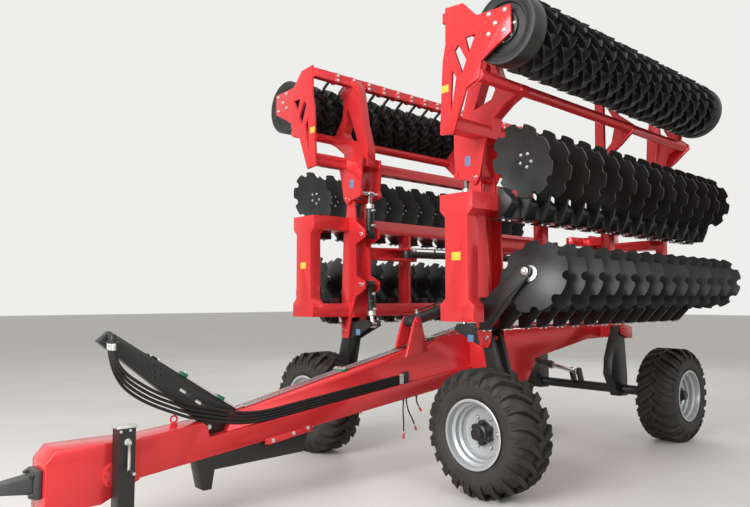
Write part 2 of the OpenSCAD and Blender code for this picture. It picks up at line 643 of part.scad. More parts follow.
// End plate that holds the roller, with three windows
module roller_end_plate() {
    difference() {
        plate_yz(0, roller_plate_t, [
            [775, 2677], [905, 2660], [1036, 2982], [roller_y - 187, roller_z - 327],
            [roller_y - 162, roller_z - 205], [roller_y - 50, roller_z - 144], [roller_y + 96, roller_z - 70],
            [roller_y + 95, roller_z + 126], [roller_y - 204, roller_z + 141], [roller_y - 332, roller_z + 274],
            [835, roller_z + 290], [835, roller_z + 4], [806, 3231]]);
        plate_yz(-1, roller_plate_t + 2, [[883, 2885], [900, 3148], [941, 3081], [887, 2827]]);
        plate_yz(-1, roller_plate_t + 2, [
            [roller_y - 416, roller_z - 65], [roller_y - 376, roller_z - 27], [roller_y - 301, roller_z - 167],
            [roller_y - 343, roller_z - 254]]);
        plate_yz(-1, roller_plate_t + 2, [
            [roller_y - 311, roller_z + 5], [roller_y - 212, roller_z + 4], [roller_y - 277, roller_z - 114]]);
    }
}

// Support between the frame's bars, cut back round the roller
module roller_support() {
    clear_r = 340;
    difference() {
        plate_yz(-20, 40, concat(
            [[790, 2700], [905, 2700], [950, 2830], [1060, 2910], [tube_y + 55, tube_z - 20],
                [tube_y + 50, tube_z + 25]],
            [for (a = [205:-11:150]) [roller_y + clear_r * cos(a), roller_z + clear_r * sin(a)]],
            [[960, top_beam_z + 20], [800, top_beam_z + 20]]));
        plate_yz(-21, 42, [
            [885, 2860], [885, roller_z + 170], [945, roller_z + 130], [940, roller_z - 90], [1010, roller_z - 215],
            [965, 2940]]);
    }
}

// Arm that turns on the column's pin
module roller_arm() {
    plate_yz(0, arm_plate_t, [
        [rod_eye_y - 35, 2420], [rod_eye_y - 10, 2480], [fork_in_y, 2600], [fork_in_y, 2780], [900, 2780],
        [905, 2700], [880, 2600], [835, 2400], [800, 2350], [770, 2345], [735, 2380], [rod_eye_y + 20, 2400]]);
}

// Fork on the two arms, which carries the roller's bars
module roller_fork() {
    clear_r = 400;
    difference() {
        plate_yz(-fork_t / 2, fork_t, concat(
            [[fork_in_y, 2700], [fork_in_y, 2865], [655, 3130], [roller_y - 627, roller_z + 110],
                [790, top_beam_z + 60], [880, top_beam_z + 60], [roller_y - 330, roller_z + 142]],
            [for (a = [170:10:200]) [roller_y + clear_r * cos(a), roller_z + clear_r * sin(a)]],
            [[tube_y - 76, tube_z + 35], [tube_y + 50, tube_z + 25], [tube_y + 55, tube_z - 20], [1050, 2960],
                [930, 2870], [905, 2700]]));
        plate_yz(-fork_t / 2 - 1, fork_t + 2, [
            [724, 2968], [866, roller_z - 30], [900, roller_z - 65], [895, roller_z - 155], [940, 3090],
            [900, 3020]]);
    }
}

module roller_frame() {
    arm_x = [col_front_x + side_gap, col_rear_x - side_gap - arm_plate_t];
    x0 = -100;
    bar_l = roller_plate_x[0] + roller_plate_t / 2 - x0;
    color(red) {
        for (x = roller_plate_x) translate([x, 0, 0]) roller_end_plate();
        for (x = [post_x[1] + 150, x0 + 40]) translate([x, 0, 0]) roller_support();
        rod_x(x0, tube_y, tube_z, bar_l, 90);
        translate([x0, 790, 2700]) cube([bar_l, 120, 100]);
        translate([x0, 800, top_beam_z]) cube([bar_l, 80, 80]);
        for (x = arm_x) translate([x, 0, 0]) roller_arm();
        translate([(col_front_x + col_rear_x) / 2, 0, 0]) roller_fork();
        translate([arm_x[1], fork_in_y + 10, 2700]) cube([arm_x[0] - arm_x[1] + arm_plate_t, 230, 80]);
    }
    color(steel) rod_x(arm_x[1] - 10, depth_pivot_y, depth_pivot_z, arm_x[0] - arm_x[1] + 40, 40 - 2 * fit_gap);
    color(steel) for (x = [arm_x[0] + 20, arm_x[1] - 8]) rod_x(x, rod_eye_y, rod_eye_z, 8, 44);
}

// Roller: a drum with rings of lugs, each ring half a step on from the last, and a smooth collar at each end
roller_rings = 15;
near_collar = 170;
far_collar = 100;
module roller() {
    stub_d = 60;
    x1 = wing_tip_x - 35 - roller_gap;
    step = 360 / roller_lugs;
    root_r = drum_d / 2 + 6;
    // One lug: share of the step, and radius
    lug = [[0, root_r], [0.35, roller_d / 2], [0.5, roller_d / 2], [0.55, root_r]];
    ring_l = (x1 - near_collar - roller_end_x - far_collar) / roller_rings;
    color(black) {
        rod_x(roller_end_x, roller_y, roller_z, x1 - roller_end_x, drum_d);
        for (k = [0:roller_rings - 1]) translate([roller_end_x + far_collar + k * ring_l, roller_y, roller_z])
            rotate([90, 0, 90]) rotate([0, 0, k % 2 * step / 2]) linear_extrude(ring_l)
            polygon([for (n = [0:roller_lugs - 1]) for (c = lug)
                c[1] * [cos((n + c[0]) * step), sin((n + c[0]) * step)]]);
        rod_x(roller_end_x - roller_gap + seat_gap, roller_y, roller_z,
            x1 - roller_end_x + 2 * roller_gap - 2 * seat_gap, stub_d);
    }
}

// Wheel arm: two bell-crank plates and the wheel's stub axle
crank_pin_y = 560;
crank_pin_z = 1195;
module wheel_arm() {
    arm_x = [col_front_x - col_t - side_gap - 30, col_rear_x + col_t + side_gap];
    color(black) difference() {
        union() {
            for (x = arm_x) plate_yz(x, 30, [
                [crank_pin_y - 45, crank_pin_z - 10], [crank_pin_y - 20, crank_pin_z + 40], [620, 1240], [870, 1190],
                [905, 1130], [1080, 520], [1060, 410], [960, 410], [930, 520], [810, 1050]]);
            rod_x(arm_x[1], wing_wheel_y, wheel_z, col_front_x + wheel_ahead + 75 - arm_x[1], hub_bore - 2 * fit_gap);
        }
        rod_x(arm_x[1] - 1, arm_pivot_y, arm_pivot_z, 200, 40);
    }
}

// Cylinders. Each barrel turns on a pin at p and points to q, and the rod slides in it.
ram_d = 70;
ram_rod_d = 40;
tilt_ram_d = 100;
tilt_rod_d = 60;
tilt_eye_half = mast_y - mast_t / 2 - 5;
tilt_base_half = tilt_lug_y - tilt_lug_t / 2 - 5;
axle_ram_d = 80;
axle_rod_d = 45;

// Barrel of length len. The first child is its base eye, the second the pin's hole.
module barrel(p, q, len, d, rod_d) {
    gland_l = 40;
    bore_start = 60;
    color(black) difference() {
        union() {
            along(p, q) cylinder(h = len, d = d, $fn = 48);
            along(p, q) translate([0, 0, len - gland_l]) cylinder(h = gland_l, d = d + 8, $fn = 48);
            children(0);
        }
        along(p, q) translate([0, 0, bore_start]) cylinder(h = len, d = rod_d + 2 * fit_gap, $fn = 48);
        children(1);
    }
}

// Rod that starts inside the barrel. The children are its eye and pin.
module piston_rod(p, q, start, rod_d) {
    color(steel) {
        along(p, q) translate([0, 0, start]) cylinder(h = norm(q - p) - start, d = rod_d, $fn = 48);
        children();
    }
}

fold_p = [ram_base_wing_x, ram_base_wing_y, ram_z];
fold_q = [ram_eye_x, ram_eye_y, ram_z];
module fold_barrel() {
    barrel(fold_p, fold_q, 1700, ram_d, ram_rod_d) {
        translate(fold_p - [0, 0, ram_d / 2]) cylinder(h = ram_d, d = ram_d + 20, $fn = 48);
        translate(fold_p - [0, 0, ram_d]) cylinder(h = 2 * ram_d, d = rod_pin_d + 2 * fit_gap, $fn = 48);
    }
}
module fold_rod() {
    piston_rod(fold_p, fold_q, 1200, ram_rod_d) translate(fold_q - [0, 0, 34]) cylinder(h = 68, d = 70, $fn = 48);
}

lift_x = col_rear_x + col_t + col_gap / 2;
lift_p = [lift_x, ear_y, ear_low_z];
lift_q = [lift_x, crank_pin_y, crank_pin_z];
module lift_barrel() {
    barrel(lift_p, lift_q, 290, ram_d, ram_rod_d) {
        rod_x(lift_x - 40, ear_y, ear_low_z, 80, ram_d + 10);
        rod_x(lift_x - 50, ear_y, ear_low_z, 100, rod_pin_d + 2 * fit_gap);
    }
}
module lift_rod() {
    pin_half = col_gap / 2 - side_gap - 30 - 5;
    piston_rod(lift_p, lift_q, 70, ram_rod_d) {
        rod_x(lift_x - 30, crank_pin_y, crank_pin_z, 60, 60);
        rod_x(lift_x - pin_half, crank_pin_y, crank_pin_z, 2 * pin_half, rod_pin_d);
    }
}

depth_p = [lift_x, ear_y, ear_high_z];
depth_q = [lift_x, rod_eye_y, rod_eye_z];
module depth_barrel() {
    barrel(depth_p, depth_q, 290, ram_d, ram_rod_d) {
        rod_x(lift_x - 40, ear_y, ear_high_z, 80, ram_d + 10);
        rod_x(lift_x - 50, ear_y, ear_high_z, 100, rod_pin_d + 2 * fit_gap);
    }
}
module depth_rod() {
    pin_half = col_gap / 2 + col_t + side_gap - 5;
    piston_rod(depth_p, depth_q, 120, ram_rod_d) {
        rod_x(lift_x - 30, rod_eye_y, rod_eye_z, 60, 60);
        rod_x(lift_x - pin_half, rod_eye_y, rod_eye_z, 2 * pin_half, rod_pin_d);
    }
}

tilt_p = [tilt_base_x, 0, tilt_base_z];
tilt_q = [tilt_top_x, 0, tilt_top_z];
module tilt_barrel() {
    barrel(tilt_p, tilt_q, 2600, tilt_ram_d, tilt_rod_d) {
        rod_y(tilt_p[0], -tilt_base_half, tilt_p[2], 2 * tilt_base_half, tilt_ram_d - 10);
        rod_y(tilt_p[0], -tilt_lug_y, tilt_p[2], 2 * tilt_lug_y, pin_d + 2 * fit_gap);
    }
}
module tilt_rod() {
    piston_rod(tilt_p, tilt_q, 1700, tilt_rod_d)
        rod_y(tilt_q[0], -tilt_eye_half, tilt_q[2], 2 * tilt_eye_half, 90);
}

axle_p = [ram_base_x, 0, ram_base_z];
axle_q = [axle_lever_x, 0, axle_lever_z];
module axle_barrel() {
    half = ram_lug_y - 16;
    barrel(axle_p, axle_q, 600, axle_ram_d, axle_rod_d) {
        rod_y(axle_p[0], -half, axle_p[2], 2 * half, axle_ram_d);
        rod_y(axle_p[0], -ram_lug_y, axle_p[2], 2 * ram_lug_y, rod_pin_d + 2 * fit_gap);
    }
}
module axle_rod() {
    piston_rod(axle_p, axle_q, 480, axle_rod_d) rod_y(axle_q[0], -30, axle_q[2], 60, 70);
}

machine() drawbar();
machine() hitch_eye();
machine() main_frame();
machine() hose_holder();
machine() pipes();
machine() tool_stand();
machine() jack_body();
machine() jack_leg();
for (k = [1:4]) machine() tube(hose_points(k - 1), hose_d, 3);
for (k = [1:3]) machine() tube(tail_points[k - 1], tail_d, 1);
machine() hose_caps();
machine() axle_frame();
rear_wheel(1) tyre();  // tyre_rear_left
rear_wheel(-1) tyre();  // tyre_rear_right
rear_wheel(1) rim();  // rim_rear_left
rear_wheel(-1) rim();  // rim_rear_right
machine() tilt_frame();
side(1) wing_frame();  // wing_frame_left
side(-1) wing_frame();  // wing_frame_right
side(1) disc_arms();  // disc_arms_left
side(-1) disc_arms();  // disc_arms_right
side(1) discs();  // discs_left
side(-1) discs();  // discs_right
side(1) roller_frame();  // roller_frame_left
side(-1) roller_frame();  // roller_frame_right
side(1) roller();  // roller_left
side(-1) roller();  // roller_right
side(1) wheel_arm();  // wheel_arm_left
side(-1) wheel_arm();  // wheel_arm_right
side(1) wing_wheel() tyre();  // tyre_wing_left
side(-1) wing_wheel() tyre();  // tyre_wing_right
side(1) wing_wheel() rim();  // rim_wing_left
side(-1) wing_wheel() rim();  // rim_wing_right
for (k = [[1, "left"], [-1, "right"]]) {
    side(k[0]) fold_barrel();
    side(k[0]) fold_rod();
    side(k[0]) lift_barrel();
    side(k[0]) lift_rod();
    side(k[0]) depth_barrel();
    side(k[0]) depth_rod();
}
machine() tilt_barrel();
machine() tilt_rod();
machine() axle_barrel();
machine() axle_rod();
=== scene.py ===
"""Looks of a folding trailed disc harrow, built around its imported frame.

Lengths are metres. Machine coordinates run forwards from the reference section, to the left and up;
Layout.at turns them into the frame's own, whose origin is under the middle of the machine.
"""

import json
import logging
import math
from dataclasses import dataclass
from enum import Enum
from typing import Callable, Iterable, Sequence

import bmesh
import bpy
from mathutils import Matrix, Vector

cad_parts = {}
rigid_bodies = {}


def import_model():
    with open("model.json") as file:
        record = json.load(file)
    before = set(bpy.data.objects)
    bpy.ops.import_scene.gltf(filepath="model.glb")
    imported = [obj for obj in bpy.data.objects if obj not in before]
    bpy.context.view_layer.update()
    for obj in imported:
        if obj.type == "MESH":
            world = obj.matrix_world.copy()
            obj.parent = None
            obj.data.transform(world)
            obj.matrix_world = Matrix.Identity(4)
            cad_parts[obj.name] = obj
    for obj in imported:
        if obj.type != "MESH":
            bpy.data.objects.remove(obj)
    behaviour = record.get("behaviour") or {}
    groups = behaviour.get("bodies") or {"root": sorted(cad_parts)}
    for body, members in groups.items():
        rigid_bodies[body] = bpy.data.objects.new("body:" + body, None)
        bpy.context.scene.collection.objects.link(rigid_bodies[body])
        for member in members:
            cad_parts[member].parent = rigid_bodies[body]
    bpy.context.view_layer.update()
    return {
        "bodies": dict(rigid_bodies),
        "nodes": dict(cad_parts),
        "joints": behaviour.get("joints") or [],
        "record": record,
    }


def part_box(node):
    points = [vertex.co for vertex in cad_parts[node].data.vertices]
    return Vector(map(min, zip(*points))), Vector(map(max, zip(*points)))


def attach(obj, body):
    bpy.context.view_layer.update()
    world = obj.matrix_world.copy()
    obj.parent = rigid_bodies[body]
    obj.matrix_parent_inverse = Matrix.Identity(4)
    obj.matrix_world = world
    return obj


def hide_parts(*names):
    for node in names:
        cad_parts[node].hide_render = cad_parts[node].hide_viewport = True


LOG = logging.getLogger("harrow")
Colour = tuple[float, float, float]
Point = tuple[float, float, float]
Outline = Sequence[tuple[float, float]]
# Angle in degrees past which an edge is bevelled
SHARP = 28.0


class Side(Enum):
    """Left or right half of the machine; the value is the sign of Y."""

    LEFT = 1
    RIGHT = -1

    @property
    def word(self) -> str:
        """Word used in node names.

        Returns:
            "left" or "right".
        """
        return self.name.lower()


class Axis(Enum):
    """Direction that a shape's own Z axis is turned to."""

    X = Vector((1, 0, 0))
    Y = Vector((0, 1, 0))
    Z = Vector((0, 0, 1))


@dataclass(frozen=True)
class Layout:
    """Driving places of the machine, in metres from its reference section."""

    eye_front: float = 6.3253
    wheel_z: float = 0.465
    row_front_x: float = 3.08
    disc_pitch: float = 0.25
    disc_count: int = 14
    disc_low: Point = (0.010, 1.331, 1.617)
    disc_high: Point = (-0.050, 1.276, 2.462)
    disc_steer: float = 16.0
    row_low_y: float = 0.900
    row_high_y: float = 1.094
    row_low_z: float = 1.33
    row_high_z: float = 2.155
    column_front: float = 3.000
    column_rear: float = 2.800
    roller_y: float = 1.340
    roller_z: float = 3.355
    top_beam_z: float = 3.535

    @property
    def middle(self) -> float:
        """Machine X of the frame's origin, read from the hitch eye.

        Returns:
            The distance in metres.
        """
        return self.eye_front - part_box("hitch_eye")[1].x

    def at(self, x: float, y: float, z: float) -> Vector:
        """Point of the frame for a machine point.

        Args:
            x: Distance forwards from the reference section.
            y: Distance to the left.
            z: Height.

        Returns:
            The same point in the frame.
        """
        return Vector((x - self.middle, y, z))


LAYOUT = Layout()


def srgb(red: float, green: float, blue: float) -> Colour:
    """Linear colour of an 8-bit one.

    Args:
        red: Red from 0 to 255.
        green: Green from 0 to 255.
        blue: Blue from 0 to 255.

    Returns:
        The same colour in linear light.
    """
    shares = (red / 255, green / 255, blue / 255)
    return tuple(((c + 0.055) / 1.055) ** 2.4 if c > 10 / 255 else c / 12.92 for c in shares)


class Socket:
    """A node's output, on which Python's operators add Math nodes."""

    def __init__(self, shader: "Shader", output: bpy.types.NodeSocket) -> None:
        """Wraps one output of a shader's tree.

        Args:
            shader: Shader that the node belongs to.
            output: The node's output.
        """
        self.shader = shader
        self.output = output

    def _math(self, operation: str, first: "float | Socket", second: "float | Socket") -> "Socket":
        """Adds one Math node on two values.

        Args:
            operation: What it does.
            first: Its first value.
            second: Its second value.

        Returns:
            The node's output.
        """
        return self.shader.node("ShaderNodeMath", {"operation": operation}, {0: first, 1: second})

    def __add__(self, other: "float | Socket") -> "Socket":
        """Sum.

        Args:
            other: What is added.

        Returns:
            The node's output.
        """
        return self._math("ADD", self, other)

    __radd__ = __add__

    def __sub__(self, other: "float | Socket") -> "Socket":
        """Difference.

        Args:
            other: What is taken away.

        Returns:
            The node's output.
        """
        return self._math("SUBTRACT", self, other)

    def __rsub__(self, other: "float | Socket") -> "Socket":
        """Difference the other way round.

        Args:
            other: What this is taken away from.

        Returns:
            The node's output.
        """
        return self._math("SUBTRACT", other, self)

    def __mul__(self, other: "float | Socket") -> "Socket":
        """Product.

        Args:
            other: What is multiplied by.

        Returns:
            The node's output.
        """
        return self._math("MULTIPLY", self, other)

    __rmul__ = __mul__

    def clamp(self) -> "Socket":
        """The value kept from 0 to 1.

        Returns:
            The node's output.
        """
        return self.shader.node("ShaderNodeClamp", {}, {"Value": self})


class Shader:
    """One material and its node tree."""

    def __init__(self, name: str) -> None:
        """Starts a material with an empty tree.

        Args:
            name: Name of the material.
        """
        self.material = bpy.data.materials.new(name)
        self.material.use_nodes = True
        self.tree = self.material.node_tree
        self.tree.nodes.clear()
        self.place = self.node("ShaderNodeTexCoord", {}, {}, "Object")

    def node(self, kind: str, settings: dict, inputs: dict, output: "str | int" = 0) -> Socket:
        """Adds any node.

        Args:
            kind: Type of the node.
            settings: Its attributes.
            inputs: A value or a Socket for each input, by name or number.
            output: Which output to give back.

        Returns:
            The chosen output.
        """
        made = self.tree.nodes.new(kind)
        for key, value in settings.items():
            setattr(made, key, value)
        for key, value in inputs.items():
            if isinstance(value, Socket):
                self.tree.links.new(value.output, made.inputs[key])
            else:
                made.inputs[key].default_value = value
        return Socket(self, made.outputs[output])

    def noise(self, scale: float, detail: float) -> Socket:
        """Noise over the object's own coordinates, from 0 to 1.

        Args:
            scale: Waves in a metre.
            detail: How many finer layers it has.

        Returns:
            The noise's value.
        """
        return self.node("ShaderNodeTexNoise", {}, {"Vector": self.place, "Scale": scale, "Detail": detail})

    def ramp(self, value: Socket, low: float, high: float) -> Socket:
        """Value stretched so that low is 0 and high is 1, with soft ends.

        Args:
            value: The value.
            low: What becomes 0.
            high: What becomes 1.

        Returns:
            The stretched value.
        """
        ends = {"Value": value, "From Min": low, "From Max": high}
        return self.node("ShaderNodeMapRange", {"interpolation_type": "SMOOTHSTEP"}, ends)

    def mix(self, factor: Socket, first: "Colour | Socket", second: "Colour | Socket") -> Socket:
        """Colour between two, by a factor.

        Args:
            factor: Share of the second colour.
            first: Colour at 0.
            second: Colour at 1.

        Returns:
            The mixed colour.
        """
        ends = [c if isinstance(c, Socket) else (*c, 1) for c in (first, second)]
        return self.node(
            "ShaderNodeMix", {"data_type": "RGBA"}, {0: factor, 6: ends[0], 7: ends[1]}, 2
        )

    def upward(self) -> Socket:
        """How far the surface faces up, from -1 to 1.

        Returns:
            The height of its normal.
        """
        normal = self.node("ShaderNodeNewGeometry", {}, {}, "Normal")
        return self.node("ShaderNodeSeparateXYZ", {}, {0: normal}, "Z")

    def finish(self, **sockets: "float | Socket | Colour") -> bpy.types.Material:
        """Ends the tree in a Principled shader.

        Args:
            **sockets: Values by socket name, with underscores for spaces.

        Returns:
            The material.
        """
        inputs = {}
        for key, value in sockets.items():
            if isinstance(value, tuple) and len(value) == 3:
                value = (*value, 1)
            inputs[key.replace("_", " ")] = value
        shader = self.node("ShaderNodeBsdfPrincipled", {}, inputs)
        self.node_output(shader)
        return self.material

    def node_output(self, surface: Socket) -> None:
        """Links a surface to the material's output.

        Args:
            surface: A shader node's output.
        """
        out = self.tree.nodes.new("ShaderNodeOutputMaterial")
        self.tree.links.new(surface.output, out.inputs["Surface"])


@dataclass(frozen=True)
class Finish:
    """How one kind of surface looks.

    Tone is how far the colour drifts, dust how much pale dirt lies on what faces up, and grain the
    height of the fine texture, in millimetres.
    """

    name: str
    slot: str
    colour: Colour
    roughness: float
    metallic: float = 0.0
    coat: float = 0.0
    tone: float = 0.10
    tone_scale: float = 2.5
    dust: float = 0.10
    dust_colour: Colour = srgb(168, 158, 146)
    grain: float = 0.05
    grain_scale: float = 260.0
    gloss: float = 0.5

    def material(self) -> bpy.types.Material:
        """The finish's material, made once.

        Returns:
            The material.
        """
        known = bpy.data.materials.get(self.name)
        if known:
            return known
        shader = Shader(self.name)
        drift = shader.noise(self.tone_scale, 4)
        dark = tuple(c * (1 - self.tone) for c in self.colour)
        light = tuple(min(1.0, c * (1 + self.tone) + 0.01 * self.tone) for c in self.colour)
        colour = shader.mix(shader.ramp(drift, 0.3, 0.7), dark, light)
        speckle = shader.ramp(shader.noise(38, 6), 0.42, 0.72)
        facing = shader.ramp(shader.upward(), 0.1, 0.95)
        dirt = (speckle * 0.6 + 0.4) * (facing * 0.8 + 0.2) * self.dust
        colour = shader.mix(dirt.clamp(), colour, self.dust_colour)
        fine = shader.noise(self.grain_scale, 4)
        rough = (fine - 0.5) * 0.12 + (drift - 0.5) * 0.16 + dirt * 0.5 + self.roughness
        bump = shader.node(
            "ShaderNodeBump", {}, {"Strength": 0.6, "Distance": self.grain / 1000, "Height": fine}
        )
        return shader.finish(
            Base_Color=colour, Roughness=rough.clamp(), Metallic=self.metallic, Coat_Weight=self.coat,
            Coat_Roughness=0.12, Specular_IOR_Level=self.gloss, Normal=bump,
        )


RED = Finish("red_paint", "red_paint", srgb(236, 50, 48), 0.40, coat=0.08, tone=0.06, dust=0.05, grain=0.06,
             gloss=0.4)
BLACK = Finish("black_paint", "black_paint", srgb(27, 28, 30), 0.38, tone=0.2, dust=0.03, grain=0.10,
               gloss=0.25)
DISC = Finish("disc_paint", "disc_steel", srgb(44, 45, 46), 0.36, metallic=0.35, tone=0.22, tone_scale=5,
              dust=0.04, grain=0.05, grain_scale=120, gloss=0.3)
EDGE = Finish("worn_edge", "disc_steel", srgb(72, 74, 76), 0.42, metallic=0.5, tone=0.3, tone_scale=30,
              dust=0.03)
STEEL = Finish("ground_rod", "bright_steel", srgb(206, 208, 210), 0.16, metallic=1.0, tone=0.05, dust=0.03,
               grain=0.01, grain_scale=500)
ZINC = Finish("zinc_plate", "bright_steel", srgb(206, 208, 204), 0.34, metallic=0.85, tone=0.12,
              tone_scale=40, dust=0.05, grain=0.04)
SILVER = Finish("rim_paint", "rim_silver", srgb(172, 175, 177), 0.36, metallic=0.45, tone=0.06, dust=0.14,
                grain=0.05)
GREY = Finish("cast_grey", "black_paint", srgb(64, 66, 68), 0.55, metallic=0.2, tone=0.2, dust=0.15,
              grain=0.3, grain_scale=160)
RUBBER = Finish("tyre_rubber", "tyre", srgb(36, 35, 34), 0.66, tone=0.22, tone_scale=7, dust=0.16,
                dust_colour=srgb(96, 90, 82), grain=0.25, grain_scale=90, gloss=0.3)
SIDEWALL = Finish("tyre_sidewall", "tyre", srgb(44, 42, 40), 0.64, tone=0.16, tone_scale=9, dust=0.14,
                  dust_colour=srgb(100, 93, 84), grain=0.2, grain_scale=70, gloss=0.3)
HOSE = Finish("hose_rubber", "hose", srgb(18, 18, 19), 0.46, tone=0.15, tone_scale=20, dust=0.03, grain=0.12,
              grain_scale=420, gloss=0.3)
GREEN = Finish("clamp_plastic", "black_paint", srgb(20, 92, 62), 0.5, tone=0.1, dust=0.08, grain=0.05)
CAP = Finish("cap_plastic", "red_paint", srgb(214, 44, 44), 0.42, tone=0.06, dust=0.05, grain=0.03)
YELLOW = Finish("blank_label", "bright_steel", srgb(208, 172, 50), 0.42, coat=0.2, tone=0.06, dust=0.04,
                grain=0.02)
PALE = Finish("blank_plate", "bright_steel", srgb(92, 122, 160), 0.4, tone=0.10, tone_scale=60, dust=0.05,
              grain=0.02)


def smooth_route(points: Sequence[Point], steps: int) -> list[Vector]:
    """Points of a smooth curve through some points, as the frame's own tubes have them.

    Args:
        points: Points that the curve passes.
        steps: Steps between two of them.

    Returns:
        The curve's points.
    """
    knots = [Vector(p) for p in points]
    knots = [2 * knots[0] - knots[1], *knots, 2 * knots[-1] - knots[-2]]
    route = []
    for number in range(len(points) - 1):
        a, b, c, d = knots[number:number + 4]
        for step in range(steps):
            u = step / steps
            route.append(0.5 * (2 * b + (c - a) * u + (2 * a - 5 * b + 4 * c - d) * u ** 2
                                + (3 * b - a - 3 * c + d) * u ** 3))
    return [*route, knots[-2]]


def open_curve(name: str, route: Sequence[Vector], width: float, rounding: int) -> bpy.types.Curve:
    """A round curve of one open spline.

    Args:
        name: Name of the curve.
        route: Its points.
        width: Diameter.
        rounding: Fineness of its section.

    Returns:
        The curve's data.
    """
    curve = bpy.data.curves.new(name, "CURVE")
    curve.dimensions = "3D"
    curve.bevel_depth = width / 2
    curve.bevel_resolution = rounding
    curve.use_fill_caps = True
    spline = curve.splines.new("POLY")
    spline.points.add(len(route) - 1)
    for point, spot in zip(spline.points, route):
        point.co = (*spot, 1)
    return curve


